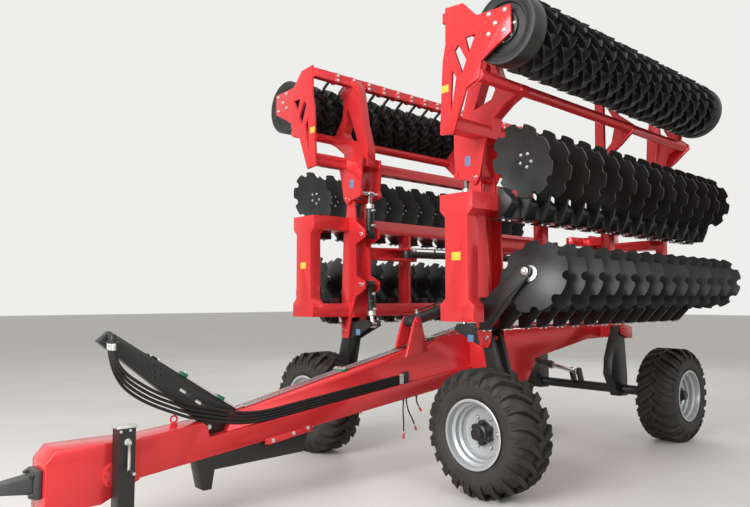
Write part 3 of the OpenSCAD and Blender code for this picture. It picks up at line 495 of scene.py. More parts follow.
class Form:
    """A mesh in the making, in machine coordinates, with a finish for each of its faces."""

    def __init__(self) -> None:
        """Starts empty."""
        self.mesh = bmesh.new()
        self.finishes: list[Finish] = []

    def _slot(self, finish: Finish) -> int:
        """Number of a finish in this form's list.

        Args:
            finish: The finish, added where it is new.

        Returns:
            Its number from 0.
        """
        if finish not in self.finishes:
            self.finishes.append(finish)
        return self.finishes.index(finish)

    def _paint(self, verts: Iterable[bmesh.types.BMVert], finish: Finish) -> None:
        """Gives a finish to every face of some vertices.

        Args:
            verts: The vertices.
            finish: The finish.
        """
        number = self._slot(finish)
        for vert in verts:
            for face in vert.link_faces:
                face.material_index = number

    def _soften(self, verts: Sequence[bmesh.types.BMVert], width: float, segments: int,
                angle: float = SHARP) -> None:
        """Bevels the sharp edges of some vertices.

        Args:
            verts: The vertices.
            width: Width of the bevel.
            segments: Steps across it.
            angle: Angle in degrees past which an edge is sharp.
        """
        chosen = set(verts)
        edges = [
            e for e in self.mesh.edges
            if e.verts[0] in chosen and len(e.link_faces) == 2 and e.calc_face_angle(0) > math.radians(angle)
        ]
        bmesh.ops.bevel(
            self.mesh, geom=edges, offset=width, offset_type="OFFSET", segments=segments, profile=0.5,
            affect="EDGES", clamp_overlap=True, material=-1,
        )

    def box(self, low: Point, high: Point, finish: Finish, edge: float = 0.003,
            turn: Matrix | None = None) -> None:
        """Adds a block with softened edges.

        Args:
            low: Lowest corner.
            high: Highest corner.
            finish: Finish of its faces.
            edge: Width of the bevel.
            turn: Matrix that moves the block before its edges are softened.
        """
        self._own(lambda mesh: bmesh.ops.create_cube(
            mesh, size=1,
            matrix=Matrix.Translation([(a + b) / 2 for a, b in zip(low, high)])
            @ Matrix.Diagonal([b - a for a, b in zip(low, high)] + [1]),
        ), finish, edge, turn)

    def _own(self, make: Callable, finish: Finish, edge: float, turn: Matrix | None) -> None:
        """Adds what make builds in a mesh of its own.

        Args:
            make: Function that fills a mesh.
            finish: Finish of its faces.
            edge: Width of the bevel.
            turn: Matrix applied before the bevel.
        """
        part = Form()
        make(part.mesh)
        if turn is not None:
            bmesh.ops.transform(part.mesh, matrix=turn, verts=part.mesh.verts)
        if edge > 0:
            part._soften(part.mesh.verts[:], edge, 2)
        part._paint(part.mesh.verts, finish)
        part.finishes = [finish]
        self.add(part)

    def add(self, part: "Form", places: Sequence[Matrix] = (Matrix.Identity(4),)) -> None:
        """Adds copies of another form.

        Args:
            part: The other form.
            places: A matrix for each copy.
        """
        flat = bpy.data.meshes.new("part")
        part.mesh.to_mesh(flat)
        slots = [self._slot(f) for f in part.finishes]
        for face in flat.polygons:
            face.material_index = slots[face.material_index] if face.material_index < len(slots) else 0
        for place in places:
            copy = flat.copy()
            copy.transform(place)
            if place.determinant() < 0:
                copy.flip_normals()
            self.mesh.from_mesh(copy)
            bpy.data.meshes.remove(copy)
        bpy.data.meshes.remove(flat)

    def rod(self, start: Point, end: Point, width: float, finish: Finish, sides: int = 24,
            edge: float = 0.0015, far_width: float | None = None) -> None:
        """Adds a round bar, or a cone or prism, between two points.

        Args:
            start: Middle of its first end.
            end: Middle of its other end.
            width: Diameter.
            finish: Finish of its faces.
            sides: Sides of its outline.
            edge: Width of the bevel on its ends.
            far_width: Diameter at the other end, if it tapers.
        """
        a, b = Vector(start), Vector(end)
        along = b - a
        turn = along.to_track_quat("Z", "Y").to_matrix().to_4x4()
        far = width if far_width is None else far_width
        self._own(lambda mesh: bmesh.ops.create_cone(
            mesh, cap_ends=True, segments=sides, radius1=width / 2, radius2=far / 2, depth=along.length,
            matrix=Matrix.Translation((a + b) / 2) @ turn,
        ), finish, edge, None)

    def bolt(self, foot: Point, direction: Point, size: float, finish: Finish = ZINC,
             shank: float = 0.0) -> None:
        """Adds a hexagon head on a washer, with the thread's end proud of it.

        Args:
            foot: Middle of the washer, on the surface.
            direction: Way that the head points.
            size: Thread's diameter.
            finish: Finish of its faces.
            shank: How far the thread stands proud of the head.
        """
        out = Vector(direction).normalized()
        base = Vector(foot)
        seat, top = base + out * size * 0.16, base + out * size * 0.85
        self.rod(base, seat, size * 2.1, finish, 16, 0)
        self.rod(seat, top, size * 1.8, finish, 6, size * 0.08)
        if shank > 0:
            self.rod(top, base + out * (size * 0.85 + shank), size, finish, 12, size * 0.08)

    def plate(self, outline: Outline, axis: Axis, start: float, thick: float, finish: Finish,
              edge: float = 0.002) -> None:
        """Adds a flat plate from its outline.

        Args:
            outline: Its corners, on the two other axes in the order X, Y, Z.
            axis: Axis that it is thick along.
            start: Its lower face's place on that axis.
            thick: Its thickness.
            finish: Finish of its faces.
            edge: Width of the bevel.
        """
        def make(mesh: bmesh.types.BMesh) -> None:
            """Builds the face and pulls it to its thickness.

            Args:
                mesh: Mesh that is filled.
            """
            spots = {
                Axis.X: lambda u, v: (start, u, v),
                Axis.Y: lambda u, v: (u, start, v),
                Axis.Z: lambda u, v: (u, v, start),
            }[axis]
            face = mesh.faces.new([mesh.verts.new(spots(u, v)) for u, v in outline])
            pulled = bmesh.ops.extrude_face_region(mesh, geom=[face])
            top = [g for g in pulled["geom"] if isinstance(g, bmesh.types.BMVert)]
            bmesh.ops.translate(mesh, vec=axis.value * thick, verts=top)
            bmesh.ops.recalc_face_normals(mesh, faces=mesh.faces)
        self._own(make, finish, edge, None)

    def lathe(self, profile: Outline, centre: Point, axis: Axis, finish: Finish, steps: int = 96,
              edge: float = 0.0) -> None:
        """Adds a closed ring turned from a profile.

        Args:
            profile: Points of distance from the axis and place along it, round the section.
            centre: Origin of the profile.
            axis: Axis of the ring.
            finish: Finish of its faces.
            steps: Steps round the axis.
            edge: Width of the bevel.
        """
        def make(mesh: bmesh.types.BMesh) -> None:
            """Spins the profile round its own Z axis.

            Args:
                mesh: Mesh that is filled.
            """
            verts = [mesh.verts.new((r, 0, h)) for r, h in profile]
            edges = [mesh.edges.new((a, b)) for a, b in zip(verts, verts[1:] + verts[:1])]
            bmesh.ops.spin(
                mesh, geom=verts + edges, cent=(0, 0, 0), axis=(0, 0, 1), angle=2 * math.pi, steps=steps,
                use_merge=True,
            )
            bmesh.ops.remove_doubles(mesh, verts=mesh.verts, dist=1e-5)
            bmesh.ops.recalc_face_normals(mesh, faces=mesh.faces)
        turn = Matrix.Translation(centre) @ axis.value.to_track_quat("Z", "Y").to_matrix().to_4x4()
        self._own(make, finish, edge, turn)

    def line(self, points: Sequence[Point], width: float, finish: Finish) -> None:
        """Adds a bent tube along a smooth route.

        Args:
            points: Points of the route.
            width: Diameter.
            finish: Finish of its faces.
        """
        curve = open_curve("line", smooth_route(points, 6), width, 3)
        holder = bpy.data.objects.new("line", curve)
        flat = bpy.data.meshes.new_from_object(holder)
        part = Form()
        part.mesh.from_mesh(flat)
        bmesh.ops.remove_doubles(part.mesh, verts=part.mesh.verts, dist=1e-6)
        bmesh.ops.recalc_face_normals(part.mesh, faces=part.mesh.faces)
        part._paint(part.mesh.verts, finish)
        part.finishes = [finish]
        self.add(part)
        bpy.data.objects.remove(holder)
        bpy.data.curves.remove(curve)
        bpy.data.meshes.remove(flat)

    def piece(self, name: str, body: str, side: Side = Side.LEFT, replaces: Sequence[str] = (),
              smooth: float = 32) -> bpy.types.Object:
        """Turns the form into a finished object that rides on a body.

        Args:
            name: Name of the object.
            body: Body that carries it.
            side: Side of the machine; the form is drawn for the left.
            replaces: Frame nodes that it stands for.
            smooth: Angle in degrees under which neighbouring faces shade as one.

        Returns:
            The object.
        """
        bmesh.ops.transform(self.mesh, matrix=Matrix.Translation(LAYOUT.at(0, 0, 0)), verts=self.mesh.verts)
        if side is Side.RIGHT:
            bmesh.ops.scale(self.mesh, vec=(1, -1, 1), verts=self.mesh.verts)
            bmesh.ops.reverse_faces(self.mesh, faces=self.mesh.faces)
        data = bpy.data.meshes.new(name)
        self.mesh.to_mesh(data)
        self.mesh.free()
        for finish in self.finishes:
            data.materials.append(finish.material())
        data.shade_smooth()
        data.set_sharp_from_angle(angle=math.radians(smooth))
        made = bpy.data.objects.new(name, data)
        bpy.context.scene.collection.objects.link(made)
        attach(made, body)
        if replaces:
            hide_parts(*replaces)
        LOG.info("%s rides on %s, %d faces", name, body, len(data.polygons))
        return made


@dataclass
class Studio:
    """Floor, lights and the camera of the photograph's view."""

    camera_at: Point = (7.162, 4.146, 1.434)
    yaw: float = 47.63
    pitch: float = 3.90
    lens: float = 32.17
    sensor: float = 36.0
    floor_half: float = 60.0
    floor_tone: Colour = srgb(205, 203, 199)
    sky_tone: Colour = srgb(238, 238, 236)
    key_power: float = 1150.0
    side_power: float = 300.0
    back_power: float = 260.0
    sky_light: float = 0.62

    def build(self) -> None:
        """Makes the floor, the lights, the world and the camera."""
        self.floor()
        self.world()
        self.lamp("key", (9.0, 1.5, 5.0), (0.5, 0, 1.6), 5.0, self.key_power)
        self.lamp("side", (1.0, 8.5, 5.5), (0, 0, 1.4), 6.0, self.side_power)
        self.lamp("back", (-7.5, -5.0, 6.0), (0, 0, 1.4), 6.0, self.back_power)
        self.camera()

    def camera(self) -> None:
        """Puts the camera where the photograph was taken."""
        data = bpy.data.cameras.new("camera")
        data.lens = self.lens
        data.sensor_width = self.sensor
        data.clip_end = 200
        camera = bpy.data.objects.new("camera", data)
        yaw, pitch = math.radians(self.yaw), math.radians(self.pitch)
        look = Vector((-math.cos(yaw) * math.cos(pitch), -math.sin(yaw) * math.cos(pitch), math.sin(pitch)))
        camera.location = LAYOUT.at(*self.camera_at)
        camera.rotation_euler = look.to_track_quat("-Z", "Y").to_euler()
        bpy.context.scene.collection.objects.link(camera)
        bpy.context.scene.camera = camera

    def lamp(self, name: str, place: Point, target: Point, size: float, power: float) -> None:
        """Adds one soft square lamp.

        Args:
            name: Its name.
            place: Where it stands, in the frame.
            target: Point that it is aimed at.
            size: Width of its square.
            power: Watts.
        """
        data = bpy.data.lights.new(name, "AREA")
        data.size = size
        data.energy = power
        lamp = bpy.data.objects.new(name, data)
        lamp.location = place
        lamp.rotation_euler = (Vector(target) - Vector(place)).to_track_quat("-Z", "Y").to_euler()
        bpy.context.scene.collection.objects.link(lamp)

    def floor(self) -> None:
        """Adds the plain pale floor."""
        mesh = bmesh.new()
        bmesh.ops.create_grid(mesh, x_segments=1, y_segments=1, size=self.floor_half)
        data = bpy.data.meshes.new("floor")
        mesh.to_mesh(data)
        mesh.free()
        shader = Shader("floor_tone")
        tone = shader.mix(shader.ramp(shader.noise(0.8, 5), 0.3, 0.7), self.floor_tone,
                          tuple(c * 0.94 for c in self.floor_tone))
        data.materials.append(shader.finish(Base_Color=tone, Roughness=0.55))
        floor = bpy.data.objects.new("floor", data)
        bpy.context.scene.collection.objects.link(floor)

    def world(self) -> None:
        """Makes an even pale world that shows white behind the machine."""
        world = bpy.data.worlds.new("studio")
        world.use_nodes = True
        bpy.context.scene.world = world
        tree = world.node_tree
        tree.nodes.clear()
        path = tree.nodes.new("ShaderNodeLightPath")
        seen = tree.nodes.new("ShaderNodeMath")
        seen.operation = "MAXIMUM"
        tree.links.new(path.outputs["Is Camera Ray"], seen.inputs[0])
        tree.links.new(path.outputs["Is Glossy Ray"], seen.inputs[1])
        either = tree.nodes.new("ShaderNodeMath")
        either.operation = "MAXIMUM"
        tree.links.new(seen.outputs[0], either.inputs[0])
        tree.links.new(path.outputs["Is Transmission Ray"], either.inputs[1])
        strength = tree.nodes.new("ShaderNodeMapRange")
        strength.inputs["To Min"].default_value = self.sky_light
        strength.inputs["To Max"].default_value = 1.0
        tree.links.new(either.outputs[0], strength.inputs["Value"])
        sky = tree.nodes.new("ShaderNodeBackground")
        sky.inputs["Color"].default_value = (*self.sky_tone, 1)
        tree.links.new(strength.outputs["Result"], sky.inputs["Strength"])
        out = tree.nodes.new("ShaderNodeOutputWorld")
        tree.links.new(sky.outputs[0], out.inputs["Surface"])


@dataclass(frozen=True)
class Pin:
    """A round bar that belongs to a node but has a finish of its own, in machine metres."""

    start: Point
    end: Point
    width: float


def mirrored(pin: Pin, side: Side) -> Pin:
    """A bar on one side of the machine.

    Args:
        pin: The bar on the left side.
        side: Side that it is wanted on.

    Returns:
        The bar on that side.
    """
    start, end = ((x, side.value * y, z) for x, y, z in (pin.start, pin.end))
    return Pin(start, end, pin.width)


class Dresser:
    """Gives frame nodes softened edges and a finish, on a merged copy of each."""

    def __init__(self, frame: dict) -> None:
        """Keeps the loaded frame.
        """
        self.frame = frame
        self.bodies = {n: b for b, nodes in frame["record"]["behaviour"]["bodies"].items() for n in nodes}

    def dress(self, node: str, finish: Finish, edge: float = 0.003, pins: Sequence[Pin] = (),
              pin_finish: Finish = ZINC) -> None:
        """Copies a node, merges and bevels the copy, and lets it stand for the node.

        Args:
            node: Name of the frame node.
            finish: Its finish.
            edge: Width of the bevel.
            pins: Bars of it that have the other finish.
            pin_finish: Finish of those bars.
        """
        mesh = bmesh.new()
        mesh.from_mesh(self.frame["nodes"][node].data)
        bmesh.ops.remove_doubles(mesh, verts=mesh.verts, dist=2e-5)
        bmesh.ops.dissolve_limit(
            mesh, angle_limit=math.radians(0.6), verts=mesh.verts, edges=mesh.edges, delimit=set()
        )
        sharp = math.radians(SHARP)
        edges = [
            e for e in mesh.edges
            if len(e.link_faces) == 2 and e.calc_face_angle(0) > sharp and e.calc_length() > edge
        ]
        bmesh.ops.bevel(
            mesh, geom=edges, offset=edge, offset_type="OFFSET", segments=2, profile=0.5, affect="EDGES",
            clamp_overlap=True, material=-1,
        )
        bmesh.ops.remove_doubles(mesh, verts=mesh.verts, dist=1e-6)
        for face in mesh.faces:
            face.material_index = int(any(self._on(face, pin) for pin in pins))
        data = bpy.data.meshes.new("dressed_" + node)
        mesh.to_mesh(data)
        mesh.free()
        data.materials.append(finish.material())
        data.materials.append(pin_finish.material())
        data.shade_smooth()
        data.set_sharp_from_angle(angle=math.radians(32))
        made = bpy.data.objects.new("dressed_" + node, data)
        bpy.context.scene.collection.objects.link(made)
        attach(made, self.bodies[node])
        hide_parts(node)
        LOG.info("dressed %s, %d faces", node, len(data.polygons))

    @staticmethod
    def _on(face: bmesh.types.BMFace, pin: Pin) -> bool:
        """Whether a face lies on a bar.

        Args:
            face: Face of a frame node.
            pin: The bar.

        Returns:
            True where it does.
        """
        start, end = LAYOUT.at(*pin.start), LAYOUT.at(*pin.end)
        axis = end - start
        reach = axis.length
        away = face.calc_center_median() - start
        along = away.dot(axis) / reach
        off = (away - axis * (along / reach)).length
        return -0.002 < along < reach + 0.002 and off < pin.width / 2 + 0.0015


@dataclass(frozen=True)
class Hoses:
    """The drawbar's four supply hoses and the three short capped ones under it, in machine metres."""

    count: int = 4
    width: float = 0.020
    route: Outline = (
        (5.600, 1.171), (5.598, 1.130), (5.585, 1.060), (5.560, 0.985), (5.510, 0.905), (5.430, 0.835),
        (5.320, 0.770), (5.190, 0.712), (5.070, 0.665), (4.960, 0.638), (4.850, 0.614), (4.730, 0.594),
        (4.600, 0.585), (4.450, 0.5915), (4.208, 0.6176), (3.960, 0.6446), (3.727, 0.670), (3.407, 0.705),
        (3.260, 0.721), (3.1415, 0.734),
    )
    fan: Sequence[float] = (1, 1, 1, 1, 1, 1, 0.9, 0.7, 0.45, 0.2, *(0,) * 10)
    rise: Sequence[float] = (0, 0.001, 0.008, 0.016, 0.024, *(0.028,) * 4, 0.027, 0.025, 0.023, 0.0215,
                             *(0.0205,) * 7)
    side_y: float = 0.0853
    rack_y: float = 0.045
    gap_y: float = 0.025
    ferrule: float = 0.027
    tail_width: float = 0.012
    tails: Sequence[Sequence[Point]] = (
        ((3.100, 0.050, 0.575), (3.100, 0.0505, 0.560), (3.101, 0.0505, 0.540), (3.103, 0.051, 0.520),
         (3.105, 0.0515, 0.500), (3.105, 0.052, 0.480), (3.104, 0.052, 0.460), (3.103, 0.0525, 0.440),
         (3.101, 0.053, 0.420), (3.100, 0.053, 0.400), (3.100, 0.0535, 0.380), (3.101, 0.054, 0.360),
         (3.102, 0.0545, 0.340), (3.103, 0.0545, 0.320), (3.104, 0.055, 0.300)),
        ((3.044, 0.030, 0.580), (3.044, 0.0305, 0.565), (3.042, 0.031, 0.548), (3.039, 0.0315, 0.530),
         (3.034, 0.0325, 0.512), (3.028, 0.033, 0.494), (3.021, 0.0335, 0.476), (3.012, 0.034, 0.460),
         (3.002, 0.0345, 0.444), (2.992, 0.035, 0.428), (2.982, 0.0355, 0.412), (2.973, 0.0365, 0.396),
         (2.965, 0.037, 0.380), (2.957, 0.0375, 0.362), (2.950, 0.038, 0.345)),
        ((2.952, 0.060, 0.590), (2.952, 0.060, 0.583), (2.9515, 0.060, 0.576), (2.9505, 0.060, 0.569),
         (2.949, 0.060, 0.562), (2.947, 0.060, 0.555), (2.945, 0.060, 0.549), (2.9425, 0.060, 0.543),
         (2.9395, 0.060, 0.537), (2.936, 0.060, 0.531), (2.932, 0.060, 0.525), (2.928, 0.060, 0.519),
         (2.924, 0.060, 0.513), (2.920, 0.060, 0.507), (2.916, 0.060, 0.501)),
    )

    def lay(self, name: str, points: Sequence[Point], width: float, steps: int) -> None:
        """Args:
            name: Its frame node, which it replaces.
            points: Points of its route.
            width: Diameter.
            steps: Steps between two points.
        """
        route = [LAYOUT.at(*p) for p in smooth_route(points, steps)]
        curve = open_curve(name + "_run", route, width, 3)
        curve.materials.append(HOSE.material())
        made = bpy.data.objects.new(name + "_run", curve)
        bpy.context.scene.collection.objects.link(made)
        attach(made, "chassis")
        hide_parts(name)

    def supply(self, number: int) -> None:
        """Makes one supply hose with its pressed ends.

        Args:
            number: Its number from 0.
        """
        points = [
            (x, self.side_y + share * (self.rack_y + number * self.gap_y - self.side_y), z + number * up)
            for (x, z), share, up in zip(self.route, self.fan, self.rise)
        ]
        form = Form()
        for end, towards in ((points[0], points[1]), (points[-1], points[-2])):
            a, b = Vector(end), Vector(towards)
            out = (b - a).normalized()
            form.rod(a + out * 0.0005, a + out * 0.043, self.ferrule, ZINC, 16, 0.0015)
            form.rod(a + out * 0.0005, a + out * 0.012, self.ferrule + 0.003, ZINC, 6, 0.001)
        ends = form.piece(f"hose_{number + 1}_ends", "chassis")
        self.lay(f"hose_{number + 1}", points, self.width, 3)

    def tail(self, number: int) -> None:
        """Makes one hanging hose with its cap.

        Args:
            number: Its number from 0.
        """
        points = self.tails[number]
        foot, above = Vector(points[-1]), Vector(points[-2])
        out = (foot - above).normalized()
        form = Form()
        form.rod(foot + out * 0.0005, foot + out * 0.016, self.ferrule - 0.008, CAP, 6, 0.001)
        form.rod(foot + out * 0.013, foot + out * 0.041, self.ferrule - 0.007, CAP, 20, 0.003)
        form.rod(foot - out * 0.020, foot + out * 0.0005, self.tail_width + 0.005, ZINC, 16, 0.001)
        cap = form.piece(f"hose_tail_{number + 1}_cap", "chassis", replaces=("hose_caps",))
        self.lay(f"hose_tail_{number + 1}", points, self.tail_width, 1)

    def build(self) -> None:
        """Makes all hoses."""
        for number in range(self.count):
            self.supply(number)
        for number in range(len(self.tails)):
            self.tail(number)


@dataclass
class Wheel:
    """A trailer tyre with curved lugs on its painted rim, about its own Y axis.

    The tyre's profile and the rim's are drawn for a disc that faces +Y.
    """

    tyre_d: float = 0.93
    tyre_w: float = 0.38
    rim_d: float = 0.48
    lug_h: float = 0.030
    lugs: int = 22
    lug_w: float = 0.050
    lug_lean: float = 15.0
    lug_reach: float = 1.08
    shoulder_drop: float = 0.062
    disc_depth: float = 0.148
    bolt_circle: float = 0.236
    bolt_count: int = 6
    button_in: float = 0.073

    def crown(self, across: float) -> float:
        """Radius of the carcass under the lugs.

        Args:
            across: Distance from the middle of the tread.

        Returns:
            The radius.
        """
        half = self.tyre_w / 2
        reach = min(1.0, abs(across) / half)
        return self.tyre_d / 2 - self.lug_h - 0.045 * reach ** 3.2

    def tyre(self) -> Form:
        """Carcass, beads and lugs.

        Returns:
            The tyre, about the origin.
        """
        form = Form()
        half = self.tyre_w / 2
        bead = self.rim_d / 2 + 0.001
        side = [
            (bead, half - 0.036), (bead + 0.010, half - 0.022), (bead + 0.020, half - 0.016),
            (bead + 0.030, half - 0.013), (bead + 0.034, half - 0.009), (bead + 0.050, half - 0.005),
            (bead + 0.075, half - 0.001), (bead + 0.100, half), (bead + 0.120, half - 0.003),
            (bead + 0.138, half - 0.010),
        ]
        shares = (0.86, 0.72, 0.5, 0.25, 0, -0.25, -0.5, -0.72, -0.86)
        tread = [(self.crown(half * share), half * share) for share in shares]
        profile = [*side, *tread, *[(r, -h) for r, h in reversed(side)]]
        form.lathe(profile, (0, 0, 0), Axis.Y, SIDEWALL, 120)
        lug = self.lug()
        step = 2 * math.pi / self.lugs
        turns = [Matrix.Rotation(k * step, 4, "Y") for k in range(self.lugs)]
        flip = Matrix.Rotation(step / 2, 4, "Y") @ Matrix.Diagonal((1, -1, 1, 1))
        form.add(lug, turns)
        form.add(lug, [turn @ flip for turn in turns])
        button = Form()
        ring = self.tyre_d / 2 - self.button_in
        button.rod((ring, half - 0.010, 0), (ring, half, 0), 0.016, RUBBER, 12, 0.002)
        form.add(button, turns)
        form.add(button, [turn @ flip for turn in turns])
        return form

    def lug(self) -> Form:
        """One lug, from the shoulder over the crown past the middle.

        Returns:
            The lug, on the tyre's +X side.
        """
        form = Form()
        half = self.tyre_w / 2
        cuts = 9
        bmesh.ops.create_cube(form.mesh, size=1)
        long_edges = [e for e in form.mesh.edges if abs(e.verts[0].co.x - e.verts[1].co.x) > 0.5]
        bmesh.ops.subdivide_edges(form.mesh, edges=long_edges, cuts=cuts)
        for vert in form.mesh.verts:
            share = vert.co.x + 0.5
            self._bend(vert, share, half)
        form._soften(form.mesh.verts[:], 0.004, 1, 40)
        for vert in form.mesh.verts:
            flat = vert.co * Vector((1, 0, 1))
            vert.co -= flat * max(0.0, 1 - self.tyre_d / 2 / flat.length)
        bmesh.ops.recalc_face_normals(form.mesh, faces=form.mesh.faces)
        form._paint(form.mesh.verts, RUBBER)
        form.finishes = [RUBBER]
        return form

    def _bend(self, vert: bmesh.types.BMVert, share: float, half: float) -> None:
        """Moves one vertex of a straight bar onto the tread.

        Args:
            vert: Vertex of the unit bar.
            share: Place along the bar, 0 at the shoulder and 1 past the middle.
            half: Half of the tyre's width.
        """
        across = half * (1.0 - self.lug_reach * share)
        width = self.lug_w * (1.25 - 0.45 * share)
        sweep = math.radians(self.lug_lean) * (share ** 1.5)
        top = vert.co.z > 0
        shoulder = max(0.0, 1 - share * 3.2)
        low = self.crown(across) - 0.012 - 0.022 * shoulder ** 1.5
        high = self.tyre_d / 2 - self.shoulder_drop * shoulder ** 1.6 - 0.004 * (abs(across) / half) ** 2
        radius = high if top else min(low, high - 0.010)
        angle = sweep + vert.co.y * (width * (1.0 if top else 1.18)) / (self.tyre_d / 2)
        across = min(across, half)
        vert.co = Vector((radius * math.cos(angle), across, radius * math.sin(angle)))

    def rim(self) -> Form:
        """Rim with its deep-set disc, hub and nuts.

        Returns:
            The rim, about the origin.
        """
        form = Form()
        half = self.tyre_w / 2
        outer = self.rim_d / 2
        form.lathe([
            (outer, half - 0.040), (outer, half - 0.016), (outer + 0.010, half - 0.012),
            (outer + 0.013, half - 0.006), (outer + 0.008, half - 0.003), (outer - 0.006, half - 0.005),
            (outer - 0.010, half - 0.020), (outer - 0.012, half - 0.052), (outer - 0.032, half - 0.064),
            (outer - 0.034, half - 0.100), (outer - 0.050, half - 0.112), (outer - 0.052, 0),
            (outer - 0.050, -half + 0.112), (outer - 0.034, -half + 0.100), (outer - 0.032, -half + 0.064),
            (outer - 0.012, -half + 0.052), (outer - 0.010, -half + 0.020), (outer - 0.006, -half + 0.005),
            (outer + 0.008, -half + 0.003), (outer + 0.013, -half + 0.006), (outer + 0.010, -half + 0.012),
            (outer, -half + 0.016), (outer, -half + 0.040), (outer - 0.024, -half + 0.060),
            (outer - 0.026, -half + 0.104), (outer - 0.043, -half + 0.114), (outer - 0.044, 0),
            (outer - 0.043, half - 0.114), (outer - 0.026, half - 0.104), (outer - 0.024, half - 0.060),
        ], (0, 0, 0), Axis.Y, SILVER, 96)
        face = half - self.disc_depth
        form.lathe([
            (outer - 0.050, face + 0.012), (outer - 0.060, face + 0.014), (outer - 0.068, face + 0.004),
            (0.150, face), (0.060, face), (0.060, face - 0.014), (0.150, face - 0.014),
            (outer - 0.066, face - 0.010), (outer - 0.050, face - 0.002),
        ], (0, 0, 0), Axis.Y, SILVER, 96)
        self._hub(form, face)
        return form

    def _hub(self, form: Form, face: float) -> None:
        """Adds the black hub with its flange, cap and nuts.

        Args:
            form: Form that it is added to.
            face: Place of the disc's outer face along the axis.
        """
        form.lathe([
            (0, face - 0.05), (0.078, face - 0.05), (0.078, face + 0.012), (0.070, face + 0.020),
            (0.062, face + 0.062), (0.046, face + 0.068), (0.046, face + 0.100), (0.040, face + 0.108),
            (0, face + 0.108),
        ], (0, 0, 0), Axis.Y, BLACK, 40, 0.0015)
        lobe = Form()
        lobe.rod((0.070, face, 0), (0.070, face + 0.050, 0), 0.046, BLACK, 20, 0.006)
        nut = Form()
        ring = self.bolt_circle / 2
        nut.rod((ring, face - 0.002, 0), (ring, face + 0.001, 0), 0.034, BLACK, 20, 0)
        nut.bolt((ring, face + 0.001, 0), (0, 1, 0), 0.012)
        step = 2 * math.pi / self.bolt_count
        turns = [Matrix.Rotation(k * step, 4, "Y") for k in range(self.bolt_count)]
        form.add(nut, turns)
        form.add(lobe, [turn @ Matrix.Rotation(step / 2, 4, "Y") for turn in turns])
        valve = self.rim_d / 2 - 0.014
        form.rod((valve, face + 0.03, 0), (valve - 0.006, face + 0.075, 0), 0.009, ZINC, 10, 0.001)

    def fit(self, node_end: str, turn: Matrix, side: Side, body: str) -> None:
        """Places a tyre and a rim where the frame has them.

        Args:
            node_end: End of the two nodes' names.
            turn: Turn from the wheel's own axis to the machine's, for the left side.
            side: Side of the machine.
            body: Body that carries both.
        """
        low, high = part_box("tyre_" + node_end)
        middle = (low + high) / 2
        machine = Vector((middle.x + LAYOUT.middle, abs(middle.y), LAYOUT.wheel_z))
        place = Matrix.Translation(machine) @ turn
        for name, part in (("tyre_", self.tyre()), ("rim_", self.rim())):
            form = Form()
            form.add(part, [place])
            form.piece("wheel_" + name + node_end, body, side, (name + node_end,), smooth=40)


